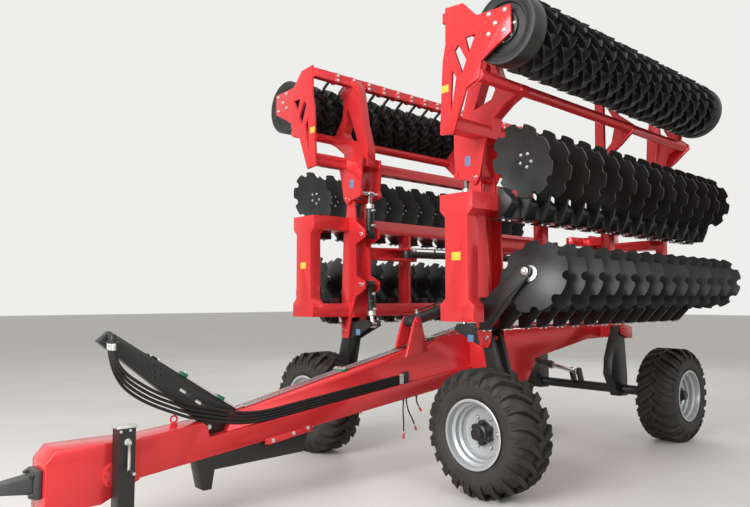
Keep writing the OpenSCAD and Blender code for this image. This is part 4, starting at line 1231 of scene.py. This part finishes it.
@dataclass
class DiscRows:
    """The two rows of notched, dished discs of one wing, with their hubs and bolts."""

    width: float = 0.55
    thick: float = 0.006
    dish: float = 0.052
    flat: float = 0.060
    low_tilt: float = 4.0
    high_tilt: float = -5.0
    notches: int = 9
    notch_r: float = 0.038
    edge_from: float = 0.200
    spread: Sequence[float] = (0, 0.055, 0.105, 0.148, 0.180, 0.197, 0.290, 0.390, 0.5)
    bolt_circle: float = 0.105
    bolts: int = 5

    def sag(self, radius: float) -> float:
        """How far the dish falls back at a distance from its middle.

        Args:
            radius: Distance from its axis.

        Returns:
            The fall in metres.
        """
        reach = max(0.0, radius - self.flat) / (self.width / 2 - self.flat)
        return self.dish * (0.35 * reach + 0.65 * reach * reach)

    def notch(self, vert: bmesh.types.BMVert) -> None:
        """Moves one vertex of the plain dish so that its edge is notched.

        Args:
            vert: Vertex of the dish.
        """
        outer = self.width / 2
        radius, angle = math.hypot(vert.co.y, vert.co.z), math.atan2(vert.co.z, vert.co.y)
        step = 2 * math.pi / self.notches
        share = (angle / step + 0.5) % 1 - 0.5
        place = abs(share) * 2 * (len(self.spread) - 1)
        whole = min(int(place + 1e-4), len(self.spread) - 2)
        low, high = self.spread[whole:whole + 2]
        closer = math.copysign(low + (place - whole) * (high - low), share)
        angle += (closer - share) * step
        off = abs(closer) * step * outer
        cut = math.sqrt(max(0.0, self.notch_r ** 2 - off ** 2))
        radius -= cut * (max(0.0, radius - self.edge_from) / (outer - self.edge_from)) ** 2
        vert.co = Vector((-self.sag(radius), radius * math.cos(angle), radius * math.sin(angle)))

    def disc(self) -> Form:
        """One notched disc.

        Returns:
            The disc about its X axis, hollow towards -X.
        """
        form = Form()
        mesh = form.mesh
        rings = (0.030, self.flat, 0.110, 0.160, 0.200, 0.236, self.width / 2)
        verts = [mesh.verts.new((0, r, 0)) for r in rings]
        edges = [mesh.edges.new(pair) for pair in zip(verts, verts[1:])]
        bmesh.ops.spin(
            mesh, geom=verts + edges, cent=(0, 0, 0), axis=(1, 0, 0), angle=2 * math.pi,
            steps=self.notches * 2 * (len(self.spread) - 1), use_merge=True,
        )
        bmesh.ops.remove_doubles(mesh, verts=mesh.verts, dist=1e-5)
        hole = [e for e in mesh.edges if e.is_boundary and e.verts[0].co.length < self.flat]
        bmesh.ops.contextual_create(mesh, geom=hole)
        for vert in mesh.verts:
            self.notch(vert)
        bmesh.ops.recalc_face_normals(mesh, faces=mesh.faces)
        bmesh.ops.solidify(mesh, geom=mesh.faces[:], thickness=self.thick)
        bmesh.ops.recalc_face_normals(mesh, faces=mesh.faces)
        front = max(v.co.x for v in mesh.verts)
        bmesh.ops.translate(mesh, vec=(-front, 0, 0), verts=mesh.verts)
        form.finishes = [DISC, EDGE]
        for face in mesh.faces:
            middle = face.calc_center_median()
            outside = math.hypot(middle.y, middle.z) > self.edge_from
            face.material_index = int(outside and abs(face.normal.x) < 0.5)
        return form

    def fixings(self) -> Form:
        """Bolt heads in the hollow, and the bearing's bright rings on the other face.

        Returns:
            The fixings of one disc.
        """
        form = Form()
        for number in range(self.bolts):
            angle = (number / self.bolts + 0.75) * 2 * math.pi
            ring = self.bolt_circle / 2
            form.bolt((-self.thick, ring * math.cos(angle), ring * math.sin(angle)), (-1, 0, 0), 0.012)
        rings = [(0, -0.001), (0.062, -0.001), (0.062, 0.007), (0.054, 0.009), (0.054, 0.018),
                 (0.0475, 0.020), (0.0475, 0.033), (0, 0.033)]
        form.lathe(rings, (0, 0, 0), Axis.X, ZINC, 32)
        return form

    def build(self, side: Side) -> None:
        """Makes both rows of one wing.

        Args:
            side: Side of the wing.
        """
        disc = self.disc()
        front = Form()
        front.add(disc)
        front.add(self.fixings())
        steer = math.radians(LAYOUT.disc_steer)
        low_turn = Matrix.Rotation(math.radians(self.low_tilt), 4, "Z") @ Matrix.Rotation(-steer, 4, "Y")
        high_turn = Matrix.Rotation(math.radians(self.high_tilt), 4, "Z") @ Matrix.Rotation(steer, 4, "Y")
        mirror = Matrix.Diagonal((-1, 1, 1, 1))
        low, high = [], []
        for number in range(LAYOUT.disc_count):
            start = LAYOUT.row_front_x - number * LAYOUT.disc_pitch
            x, y, z = LAYOUT.disc_low
            low.append(Matrix.Translation((start + x, y, z)) @ low_turn)
            x, y, z = LAYOUT.disc_high
            high.append(Matrix.Translation((start + x, y, z)) @ high_turn @ mirror)
        form = Form()
        form.add(front, low)
        form.add(front, high)
        form.piece("disc_rows_" + side.word, "wing_" + side.word, side, ("discs_" + side.word,), smooth=36)


@dataclass
class Roller:
    """A packer roller: a black drum whose rings carry chevron blades."""

    width: float = 0.544
    drum: float = 0.41
    rings: int = 15
    lugs: int = 15
    collar: float = 0.17
    far_collar: float = 0.10
    end_gap: float = 0.03
    flange: float = 0.250
    hub_bolts: float = 0.103
    lean: float = 25.0
    blade_foot: float = 0.014
    blade_edge: float = 0.005
    blade_rake: float = 0.016
    end_drop: float = 0.34

    def lug(self, pitch: float) -> Form:
        """One V-shaped blade across a ring, at the drum's top.

        Args:
            pitch: Width of a ring.

        Returns:
            The blade, with its worn edge.
        """
        form = Form()
        bmesh.ops.create_cube(form.mesh, size=1)
        long_edges = [e for e in form.mesh.edges if abs(e.verts[0].co.x - e.verts[1].co.x) > 0.5]
        bmesh.ops.subdivide_edges(form.mesh, edges=long_edges, cuts=5)
        low, high = self.drum / 2 - 0.006, self.width / 2
        for vert in form.mesh.verts:
            share = vert.co.x + 0.5
            bend = math.radians(self.lean) * (1 - abs(2 * share - 1))
            top = vert.co.z > 0
            tip = 1 - self.end_drop * abs(2 * share - 1) ** 1.8
            radius = low + (high - low) * tip if top else low
            thick = self.blade_edge if top else self.blade_foot
            angle = bend + (vert.co.y * thick + (self.blade_rake if top else 0.0)) / radius
            along = (share - 0.5) * pitch * 0.98
            vert.co = Vector((along, radius * math.sin(angle), radius * math.cos(angle)))
        bmesh.ops.recalc_face_normals(form.mesh, faces=form.mesh.faces)
        form.finishes = [BLACK, EDGE]
        for face in form.mesh.faces:
            face.material_index = int(all(math.hypot(v.co.y, v.co.z) > low + 0.01 for v in face.verts))
        return form

    def build(self, side: Side) -> None:
        """Makes the roller of one wing.

        Args:
            side: Side of the wing.
        """
        node = "roller_" + side.word
        low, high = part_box(node)
        start, end = low.x + LAYOUT.middle + self.end_gap, high.x + LAYOUT.middle - self.end_gap
        y, z = LAYOUT.roller_y, LAYOUT.roller_z
        form = Form()
        r = self.drum / 2
        long = end - start
        form.lathe([
            (0.05, 0), (r - 0.03, 0.012), (r - 0.02, 0), (r + 0.012, 0), (r + 0.012, 0.010), (r, 0.014),
            (r, long - 0.014), (r + 0.012, long - 0.010), (r + 0.012, long), (r - 0.02, long),
            (r - 0.03, long - 0.012), (0.05, long),
        ], (start, y, z), Axis.X, BLACK, 64)
        shell = self.width / 2 - 0.012
        for foot, out, reach in ((end, -1, self.collar), (start, 1, self.far_collar)):
            form.lathe([
                (r - 0.01, 0), (shell, 0), (shell + 0.002, out * 0.004), (shell, out * (reach - 0.02)),
                (r, out * reach),
            ], (foot, y, z), Axis.X, BLACK, 64, 0.002)
        start_ring = start + self.far_collar
        pitch = (end - self.collar - start_ring) / self.rings
        lug = self.lug(pitch)
        step = 2 * math.pi / self.lugs
        places = []
        for ring in range(self.rings):
            middle = start_ring + (ring + 0.5) * pitch
            for k in range(self.lugs):
                turn = Matrix.Rotation(k * step + ring * step * 0.5, 4, "X")
                places.append(Matrix.Translation((middle, y, z)) @ turn)
        form.add(lug, places)
        rim = [(0.248, 0), (0.254, 0), (0.254, 0.004), (0.248, 0.004)]
        form.lathe(rim, (end - 0.002, y, z), Axis.X, EDGE, 64)
        for x, out in ((end, 1), (start, -1)):
            form.rod((x - out * 0.01, y, z), (x + out * 0.012, y, z), self.flange, BLACK, 40, 0.002)
            form.rod((x, y, z), (x + out * 0.0295, y, z), 0.058, ZINC, 24, 0.002)
            for k in range(8):
                angle = k * math.pi / 4
                bolt_y, bolt_z = y + self.hub_bolts * math.cos(angle), z + self.hub_bolts * math.sin(angle)
                form.bolt((x + out * 0.012, bolt_y, bolt_z), (out, 0, 0), 0.012)
        form.piece("packer_" + side.word, "roller_body_" + side.word, side, (node,), smooth=30)


@dataclass
class DrawbarFittings:
    """Bolts, plates, clamps and the lifting ring on the drawbar, the hitch, the jack and the pipes."""

    flange_x: float = 6.0003
    eye_x: float = 6.2603
    flange_bolt_y: float = 0.058
    flange_bolt_z: Sequence[float] = (0.342, 0.458)
    beam_half: float = 0.100
    ring_x: float = 5.150
    ring_r: float = 0.022
    jack_x: float = 5.545
    jack_y: float = 0.2253
    head_side: float = 0.125
    disc_flange: tuple[float, float] = (5.580, 0.40)
    upper_foot: Point = (4.700, 0.0, 0.6778)
    upper_rise: float = 0.6433
    upper_clamps: Sequence[float] = (5.107, 4.833)
    lower_foot: Point = (4.640, 0.0, 0.6883)
    lower_rise: float = -0.2085
    lower_clamps: Sequence[float] = (3.750, 2.750)

    def plates(self) -> None:
        """Makes the side plates, the lifting ring and the round flange, all in red."""
        form = Form()
        half = self.beam_half
        splice = (
            (5.42, 0.35), (5.42, 0.58), (5.00, 0.618), (5.02, 0.60), (5.063, 0.501), (5.144, 0.412),
            (5.20, 0.375),
        )
        strip = ((4.10, 0.500), (4.10, 0.462), (4.48, 0.412), (4.51, 0.420), (4.51, 0.455))
        for side in Side:
            out = side.value
            form.plate(splice, Axis.Y, out * half - (0.0 if out > 0 else 0.004), 0.004, RED, 0.0015)
            form.plate(strip, Axis.Y, out * half - (0.0115 if out > 0 else 0.0035), 0.015, RED, 0.0015)
            for x, z in ((4.449, 0.439), (4.272, 0.466), (4.144, 0.488)):
                form.bolt((x, out * (half + 0.0035), z), (0, out, 0), 0.014)
            form.bolt((4.912, out * 0.0303, 0.580), (0, out, 0), 0.016)
        lug = ((5.120, 0.606), (5.180, 0.606), (5.166, 0.642), (5.134, 0.642))
        form.plate(lug, Axis.Y, -0.006, 0.012, RED)
        turns = [k * math.pi / 5 for k in range(10)]
        ring = [(self.ring_r + 0.006 * math.cos(a), 0.006 * math.sin(a)) for a in turns]
        form.lathe(ring, (self.ring_x, 0, 0.656), Axis.Y, RED, 32)
        x, z = self.disc_flange
        face = self.head_side + 0.008
        form.rod((x, self.head_side - 0.001, z), (x, face, z), 0.150, RED, 48, 0.002)
        for k in (-1, 0, 1):
            angle = k * math.radians(42)
            form.bolt((x + 0.060 * math.cos(angle), face, z + 0.060 * math.sin(angle)), (0, 1, 0), 0.009, RED)
        form.piece("drawbar_plates", "chassis")

    def hitch(self) -> None:
        """Makes the forged hitch eye with its flange and bolts."""
        form = Form()
        x, z = self.flange_x, 0.400
        form.box((x - 0.0400, -0.080, z - 0.080), (x, 0.080, z + 0.080), GREY, 0.008)
        neck = Form()
        turn = Matrix.Rotation(math.pi / 2, 4, "Y") @ Matrix.Rotation(math.pi / 4, 4, "Z")
        bmesh.ops.create_cone(
            neck.mesh, cap_ends=True, segments=4, radius1=0.076, radius2=0.040, depth=0.215,
            matrix=Matrix.Translation((x + 0.1035, 0, z)) @ turn,
        )
        neck._soften(neck.mesh.verts[:], 0.012, 3)
        neck._paint(neck.mesh.verts, GREY)
        neck.finishes = [GREY]
        form.add(neck)
        form.lathe([
            (0.0256, -0.026), (0.0256, 0.026), (0.029, 0.0295), (0.050, 0.0295), (0.060, 0.024),
            (0.0648, 0.012), (0.0648, -0.012), (0.060, -0.024), (0.050, -0.0295), (0.029, -0.0295),
        ], (self.eye_x, 0, z), Axis.Z, GREY, 72)
        for y in (-self.flange_bolt_y, self.flange_bolt_y):
            for bolt_z in self.flange_bolt_z:
                form.bolt((x, y, bolt_z), (1, 0, 0), 0.018, GREY, 0.012)
        form.piece("forged_eye", "chassis", replaces=("hitch_eye",), smooth=40)

    def jack(self) -> None:
        """Makes the parking jack's top plate, bolts and the crank's grip."""
        form = Form()
        x, y = self.jack_x, self.jack_y
        form.box((x - 0.061, 0.1243, 0.6785), (x + 0.061, y + 0.001, 0.6930), ZINC, 0.0015)
        for bolt_x, z in ((x + 0.040, 0.663), (x - 0.016, 0.665)):
            form.bolt((bolt_x, y, z), (0, 1, 0), 0.008)
        form.rod((x, y, 0.600), (x, y + 0.008, 0.600), 0.040, ZINC, 24, 0.001)
        form.rod((x, 0.246, 0.437), (x, 0.262, 0.437), 0.016, ZINC, 16, 0.001)
        form.rod((x, 0.262, 0.437), (x, 0.330, 0.437), 0.026, BLACK, 24, 0.004, 0.030)
        form.rod((x, 0.330, 0.437), (x, 0.334, 0.437), 0.018, ZINC, 16, 0.001)
        form.piece("jack_fittings", "chassis")

    def clamp(self, form: Form, foot: Point, rise: float, x: float, half: float) -> None:
        """Adds one green clamp over the three pipes.

        Args:
            form: Form that it is added to.
            foot: A point of the middle pipe's axis.
            rise: How much the pipes rise for each metre forwards.
            x: The clamp's place.
            half: Half of its width.
        """
        spot = (x, 0, foot[2] + (x - foot[0]) * rise)
        turn = Matrix.Translation(spot) @ Matrix.Rotation(-math.atan(rise), 4, "Y")
        form.box((-0.026, -half, -0.0085), (0.026, half, 0.0155), GREEN, 0.003, turn)
        bolts = Form()
        bolts.box((-0.026, -half, 0.0155), (0.026, half, 0.0185), ZINC, 0.001)
        for y in (-half + 0.010, half - 0.010):
            bolts.bolt((0, y, 0.0185), (0, 0, 1), 0.008)
        form.add(bolts, [turn])

    def pipe_parts(self) -> None:
        """Makes the pipes' clamps, their unions and the bends that lead into the holder."""
        form = Form()
        for x in self.upper_clamps:
            self.clamp(form, self.upper_foot, self.upper_rise, x, 0.048)
        for x in self.lower_clamps:
            self.clamp(form, self.lower_foot, self.lower_rise, x, 0.062)
        for k in (-1, 0, 1):
            y = 0.020 * k
            form.rod((5.262, y, 1.0393), (5.280, y, 1.0509), 0.0185, ZINC, 6, 0.001)
            form.line(((5.272, y, 1.0458), (5.310, y, 1.0706), (5.345, y, 1.0850), (5.372, y * 0.9, 1.0760),
                       (5.380, y * 0.8, 1.0550), (5.378, y * 0.8, 1.0250)), 0.012, BLACK)
            form.rod((5.318, y, 1.0745), (5.333, y, 1.0815), 0.0180, ZINC, 6, 0.001)
        form.piece("pipe_clamps", "chassis")

    def build(self) -> None:
        """Makes all of them."""
        self.plates()
        self.hitch()
        self.jack()
        self.pipe_parts()


@dataclass
class WingFittings:
    """Clamp flanges, nuts, blank plates, pin washers and scrapers of one wing."""

    clamp_low: float = 0.129
    wing_label: Point = (3.435, 0.938, 1.748)
    roller_label: Point = (3.420, 0.829, 3.020)
    end_plate_back: float = 0.060
    end_bolts: Outline = ((1.392, 3.454), (1.252, 3.463), (1.308, 3.381), (1.383, 3.309), (1.248, 3.318))
    ear_y: float = 0.600
    ears: Sequence[float] = (1.570, 2.050)
    arm_pivot: tuple[float, float] = (0.849, 1.129)
    depth_pivot: tuple[float, float] = (0.775, 2.390)
    roller_arm_front: float = 3.028
    roller_arm_back: float = 2.772
    scrapers: int = 15
    scraper_from: float = 0.300
    scraper_pitch: float = 0.203

    def clamps(self, side: Side) -> None:
        """Makes the bolted flange under every clamp, and the nuts of the lower row's bearings.

        Args:
            side: Side of the wing.
        """
        flange = Form()
        for y, z in ((LAYOUT.row_low_y, LAYOUT.row_low_z), (LAYOUT.row_high_y, LAYOUT.row_high_z)):
            low = z - self.clamp_low
            flange.box((-0.058, y - 0.060, low), (0.058, y + 0.052, low + 0.012), BLACK, 0.002)
            for x in (-0.036, 0.036):
                flange.bolt((x, y + 0.034, low), (0, 0, -1), 0.013)
                flange.bolt((x, y + 0.032, low + 0.012), (0, 0, 1), 0.012, BLACK)
        nut = Form()
        arm = ((0.940, 1.402), (1.018, 1.329), (0.938, 1.236), (1.011, 1.235), (1.049, 1.282), (1.181, 1.447),
               (1.357, 1.585), (1.372, 1.618), (1.360, 1.655), (1.325, 1.674), (1.278, 1.664), (1.090, 1.530))
        nut.plate(arm, Axis.X, 0.0695, 0.007, BLACK, 0.001)
        spot = Vector((0.0765, 1.3352, 1.6342))
        nut.rod(spot, spot + Vector((0.004, 0, 0)), 0.058, ZINC, 28, 0.001)
        nut.rod(spot + Vector((0.004, 0, 0)), spot + Vector((0.022, 0, 0)), 0.042, ZINC, 6, 0.002)
        nut.rod(spot + Vector((0.022, 0, 0)), spot + Vector((0.030, 0, 0)), 0.024, ZINC, 16, 0.002)
        form = Form()
        starts = (LAYOUT.row_front_x - number * LAYOUT.disc_pitch for number in range(LAYOUT.disc_count))
        places = [Matrix.Translation((x, 0, 0)) for x in starts]
        form.add(flange, places)
        form.add(nut, places)
        form.piece("row_fixings_" + side.word, "wing_" + side.word, side)

    def washer(self, form: Form, x: float, y: float, z: float, out: int, width: float) -> None:
        """Adds a pin's head with its small lock bolt.

        Args:
            form: Form that it is added to.
            x: Face that it lies on.
            y: Place of the pin to the left.
            z: Height of the pin.
            out: Way that it faces along X.
            width: Diameter of the head.
        """
        form.rod((x, y, z), (x + out * 0.0095, y, z), width, ZINC, 28, 0.0015)
        form.rod((x + out * 0.0095, y, z), (x + out * 0.012, y, z), width * 0.35, GREY, 16, 0.0005)
        form.bolt((x, y + width * 0.72, z + width * 0.35), (out, 0, 0), 0.009)

    def marks(self, side: Side) -> None:
        """Makes the blank label and the pin heads that ride with the wing.

        Args:
            side: Side of the wing.
        """
        form = Form()
        x, y, z = self.wing_label
        form.box((x - 0.0005, y - 0.042, z - 0.030), (x + 0.0012, y + 0.042, z + 0.030), YELLOW, 0.0004)
        for pin_z in self.ears:
            for face, out in ((LAYOUT.column_front, 1), (LAYOUT.column_rear, -1)):
                self.washer(form, face, self.ear_y, pin_z, out, 0.038)
        for face, out in ((LAYOUT.column_front, 1), (LAYOUT.column_rear, -1)):
            self.washer(form, face, *self.arm_pivot, out, 0.042)
        form.piece("wing_marks_" + side.word, "wing_" + side.word, side)

    def roller_marks(self, side: Side) -> None:
        """Makes what is bolted to the roller's frame: blank plates, bolts and the scrapers.

        Args:
            side: Side of the wing.
        """
        form = Form()
        x, y, z = self.roller_label
        form.box((x - 0.0005, y - 0.035, z - 0.028), (x + 0.0012, y + 0.035, z + 0.028), YELLOW, 0.0004)
        for bolt_y, bolt_z in self.end_bolts:
            form.bolt((x, bolt_y, bolt_z), (1, 0, 0), 0.016)
            form.bolt((self.end_plate_back, bolt_y, bolt_z), (-1, 0, 0), 0.016)
        form.box((3.0275, 0.690, 2.500), (3.0295, 0.745, 2.580), PALE, 0.0005)
        self.washer(form, self.roller_arm_front, *self.depth_pivot, 1, 0.042)
        self.washer(form, self.roller_arm_back, *self.depth_pivot, -1, 0.042)
        scraper = Form()
        top = LAYOUT.top_beam_z
        holder = ((0.792, top - 0.010), (0.888, top - 0.010), (0.888, top + 0.062), (0.868, top + 0.090),
                  (0.812, top + 0.090), (0.792, top + 0.070))
        scraper.plate(holder, Axis.X, -0.022, 0.044, RED, 0.003)
        scraper.bolt((0, 0.792, top + 0.055), (0, -1, 0), 0.014)
        scraper.bolt((0, 0.792, top + 0.012), (0, -1, 0), 0.014)
        arm = ((0.886, top + 0.050), (0.935, top + 0.050), (1.020, top - 0.005), (1.062, top - 0.082),
               (1.052, top - 0.090), (0.998, top - 0.026), (0.925, top + 0.024), (0.886, top + 0.024))
        scraper.plate(arm, Axis.X, -0.008, 0.016, BLACK, 0.002)
        blade = ((1.046, top - 0.066), (1.062, top - 0.060), (1.068, top - 0.100), (1.052, top - 0.105))
        scraper.plate(blade, Axis.X, -0.040, 0.080, BLACK, 0.001)
        starts = (self.scraper_from + number * self.scraper_pitch for number in range(self.scrapers))
        form.add(scraper, [Matrix.Translation((x, 0, 0)) for x in starts])
        form.piece("roller_marks_" + side.word, "roller_frame_body_" + side.word, side)

    def arm_marks(self, side: Side) -> None:
        """Makes the small blank plate on the wheel arm.

        Args:
            side: Side of the wing.
        """
        form = Form()
        form.box((2.9715, 0.655, 1.095), (2.9735, 0.715, 1.150), PALE, 0.0005)
        form.piece("wheel_arm_marks_" + side.word, "wheel_arm_body_" + side.word, side)

    def build(self, side: Side) -> None:
        """Makes all of them for one wing.

        Args:
            side: Side of the wing.
        """
        self.clamps(side)
        self.marks(side)
        self.roller_marks(side)
        self.arm_marks(side)


@dataclass(frozen=True)
class Ram:
    """One hydraulic cylinder: ports, elbows and the pressure pipe that is clipped along its barrel."""

    name: str
    base: Point
    tip: Point
    length: float
    width: float
    out: Point
    gland: float = 0.040
    port_near: float = 0.085
    port_far: float = 0.062

    def along(self, share: float) -> Vector:
        """Point of the axis at a distance from the base pin.

        Args:
            share: The distance in metres.

        Returns:
            The point.
        """
        start = Vector(self.base)
        return start + (Vector(self.tip) - start).normalized() * share

    def gland_pin(self) -> Pin:
        """The bright gland at the barrel's end.

        Returns:
            The gland, as a bar of the barrel's node.
        """
        start, end = self.along(self.length - self.gland), self.along(self.length)
        return Pin(tuple(start), tuple(end), self.width + 0.008)

    def build(self, body: str, side: Side) -> None:
        """Makes its ports and pipe.

        Args:
            body: Body of the barrel.
            side: Side of the machine.
        """
        form = Form()
        out = Vector(self.out)
        rest = self.width / 2
        near, far = self.port_near, self.length - self.port_far
        for place in (near, far):
            foot = self.along(place) + out * (rest - 0.004)
            form.rod(foot, foot + out * 0.022, 0.030, ZINC, 6, 0.0015)
        tube = out * (rest + 0.026)
        level = [near + 0.012, near + 0.03, (near + far) / 2, far - 0.03, far - 0.012]
        ends = [self.along(near) + tube * 0.98, self.along(far) + tube * 0.98]
        form.line([ends[0], *(self.along(share) + tube for share in level), ends[1]], 0.012, BLACK)
        for place in (near, far):
            union = [self.along(place) + out * (rest + height) for height in (0.016, 0.036)]
            form.rod(*union, 0.020, ZINC, 12, 0.002)
        count = max(1, round((far - near) / 0.5))
        axis = (self.along(1.0) - self.along(0.0)).normalized()
        for k in range(count):
            middle = self.along(near + (far - near) * (k + 0.5) / count)
            form.rod(middle - axis * 0.009, middle + axis * 0.009, self.width + 0.006, BLACK, 40, 0.001)
            foot = middle + out * (rest + 0.001)
            form.rod(foot, foot + out * 0.034, 0.018, BLACK, 12, 0.002)
        form.piece(self.name + "_ports_" + side.word, body, side)


RAMS = (
    Ram("fold", (2.400, 0.600, 1.880), (0.100, 0.120, 1.880), 1.700, 0.070, (0, 0, 1)),
    Ram("lift", (2.900, 0.600, 1.570), (2.900, 0.560, 1.195), 0.290, 0.070, (0, -1, 0)),
    Ram("depth", (2.900, 0.600, 2.050), (2.900, 0.600, 2.440), 0.290, 0.070, (0, -1, 0)),
)
TILT_RAM = Ram("tilt", (2.950, 0, 1.240), (-0.250, 0, 2.000), 2.600, 0.100, (0.2311, 0, 0.9729))
AXLE_RAM = Ram("axle", (1.350, 0, 0.850), (0.300, 0, 0.620), 0.600, 0.080, (0, 1, 0))


PAINTED = {
    RED: ("drawbar", "main_frame", "tilt_frame", "wing_frame_left", "wing_frame_right", "roller_frame_left",
          "roller_frame_right"),
    BLACK: ("hose_holder", "tool_stand", "jack_body", "axle_frame", "disc_arms_left", "disc_arms_right",
            "wheel_arm_left", "wheel_arm_right", "fold_barrel_left", "fold_barrel_right",
            "lift_barrel_left", "lift_barrel_right", "depth_barrel_left", "depth_barrel_right",
            "tilt_barrel", "axle_barrel"),
    STEEL: ("jack_leg", "fold_rod_left", "fold_rod_right", "lift_rod_left", "lift_rod_right",
            "depth_rod_left", "depth_rod_right", "tilt_rod", "axle_rod", "pipes"),
}
CRANK = (Pin((5.545, 0.232, 0.600), (5.545, 0.266, 0.600), 0.020),
         Pin((5.545, 0.255, 0.430), (5.545, 0.255, 0.608), 0.018))


def dress_nodes(dresser: Dresser) -> None:
    """Gives every frame node that keeps its own shape its finish and its bright pins.

    Args:
        dresser: What dresses the nodes.
    """
    pins = {"jack_body": CRANK}
    for ram in (TILT_RAM, AXLE_RAM):
        pins[ram.name + "_barrel"] = (ram.gland_pin(),)
    for ram in RAMS:
        for side in Side:
            pins[f"{ram.name}_barrel_{side.word}"] = (mirrored(ram.gland_pin(), side),)
    for finish, nodes in PAINTED.items():
        for node in nodes:
            dresser.dress(node, finish, 0.0015 if finish is STEEL else 0.004, pins.get(node, ()))


def main() -> None:
    """Builds the scene."""
    logging.basicConfig(level=logging.INFO, format="%(message)s")
    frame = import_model()
    Studio().build()
    Hoses().build()
    dress_nodes(Dresser(frame))
    wheel = Wheel()
    DrawbarFittings().build()
    for side in Side:
        wheel.fit("rear_" + side.word, Matrix.Identity(4), side, "rear_wheel_" + side.word)
        outward = Matrix.Rotation(math.radians(-90), 4, "Z")
        wheel.fit("wing_" + side.word, outward, side, "wing_wheel_" + side.word)
        DiscRows().build(side)
        Roller().build(side)
        WingFittings().build(side)
        for ram in RAMS:
            ram.build(f"{ram.name}_{side.word}_cylinder", side)
    TILT_RAM.build("tilt_cylinder", Side.LEFT)
    AXLE_RAM.build("axle_cylinder", Side.LEFT)
    bpy.context.scene.view_settings.view_transform = "Standard"


if __name__ == "__main__":
    main()
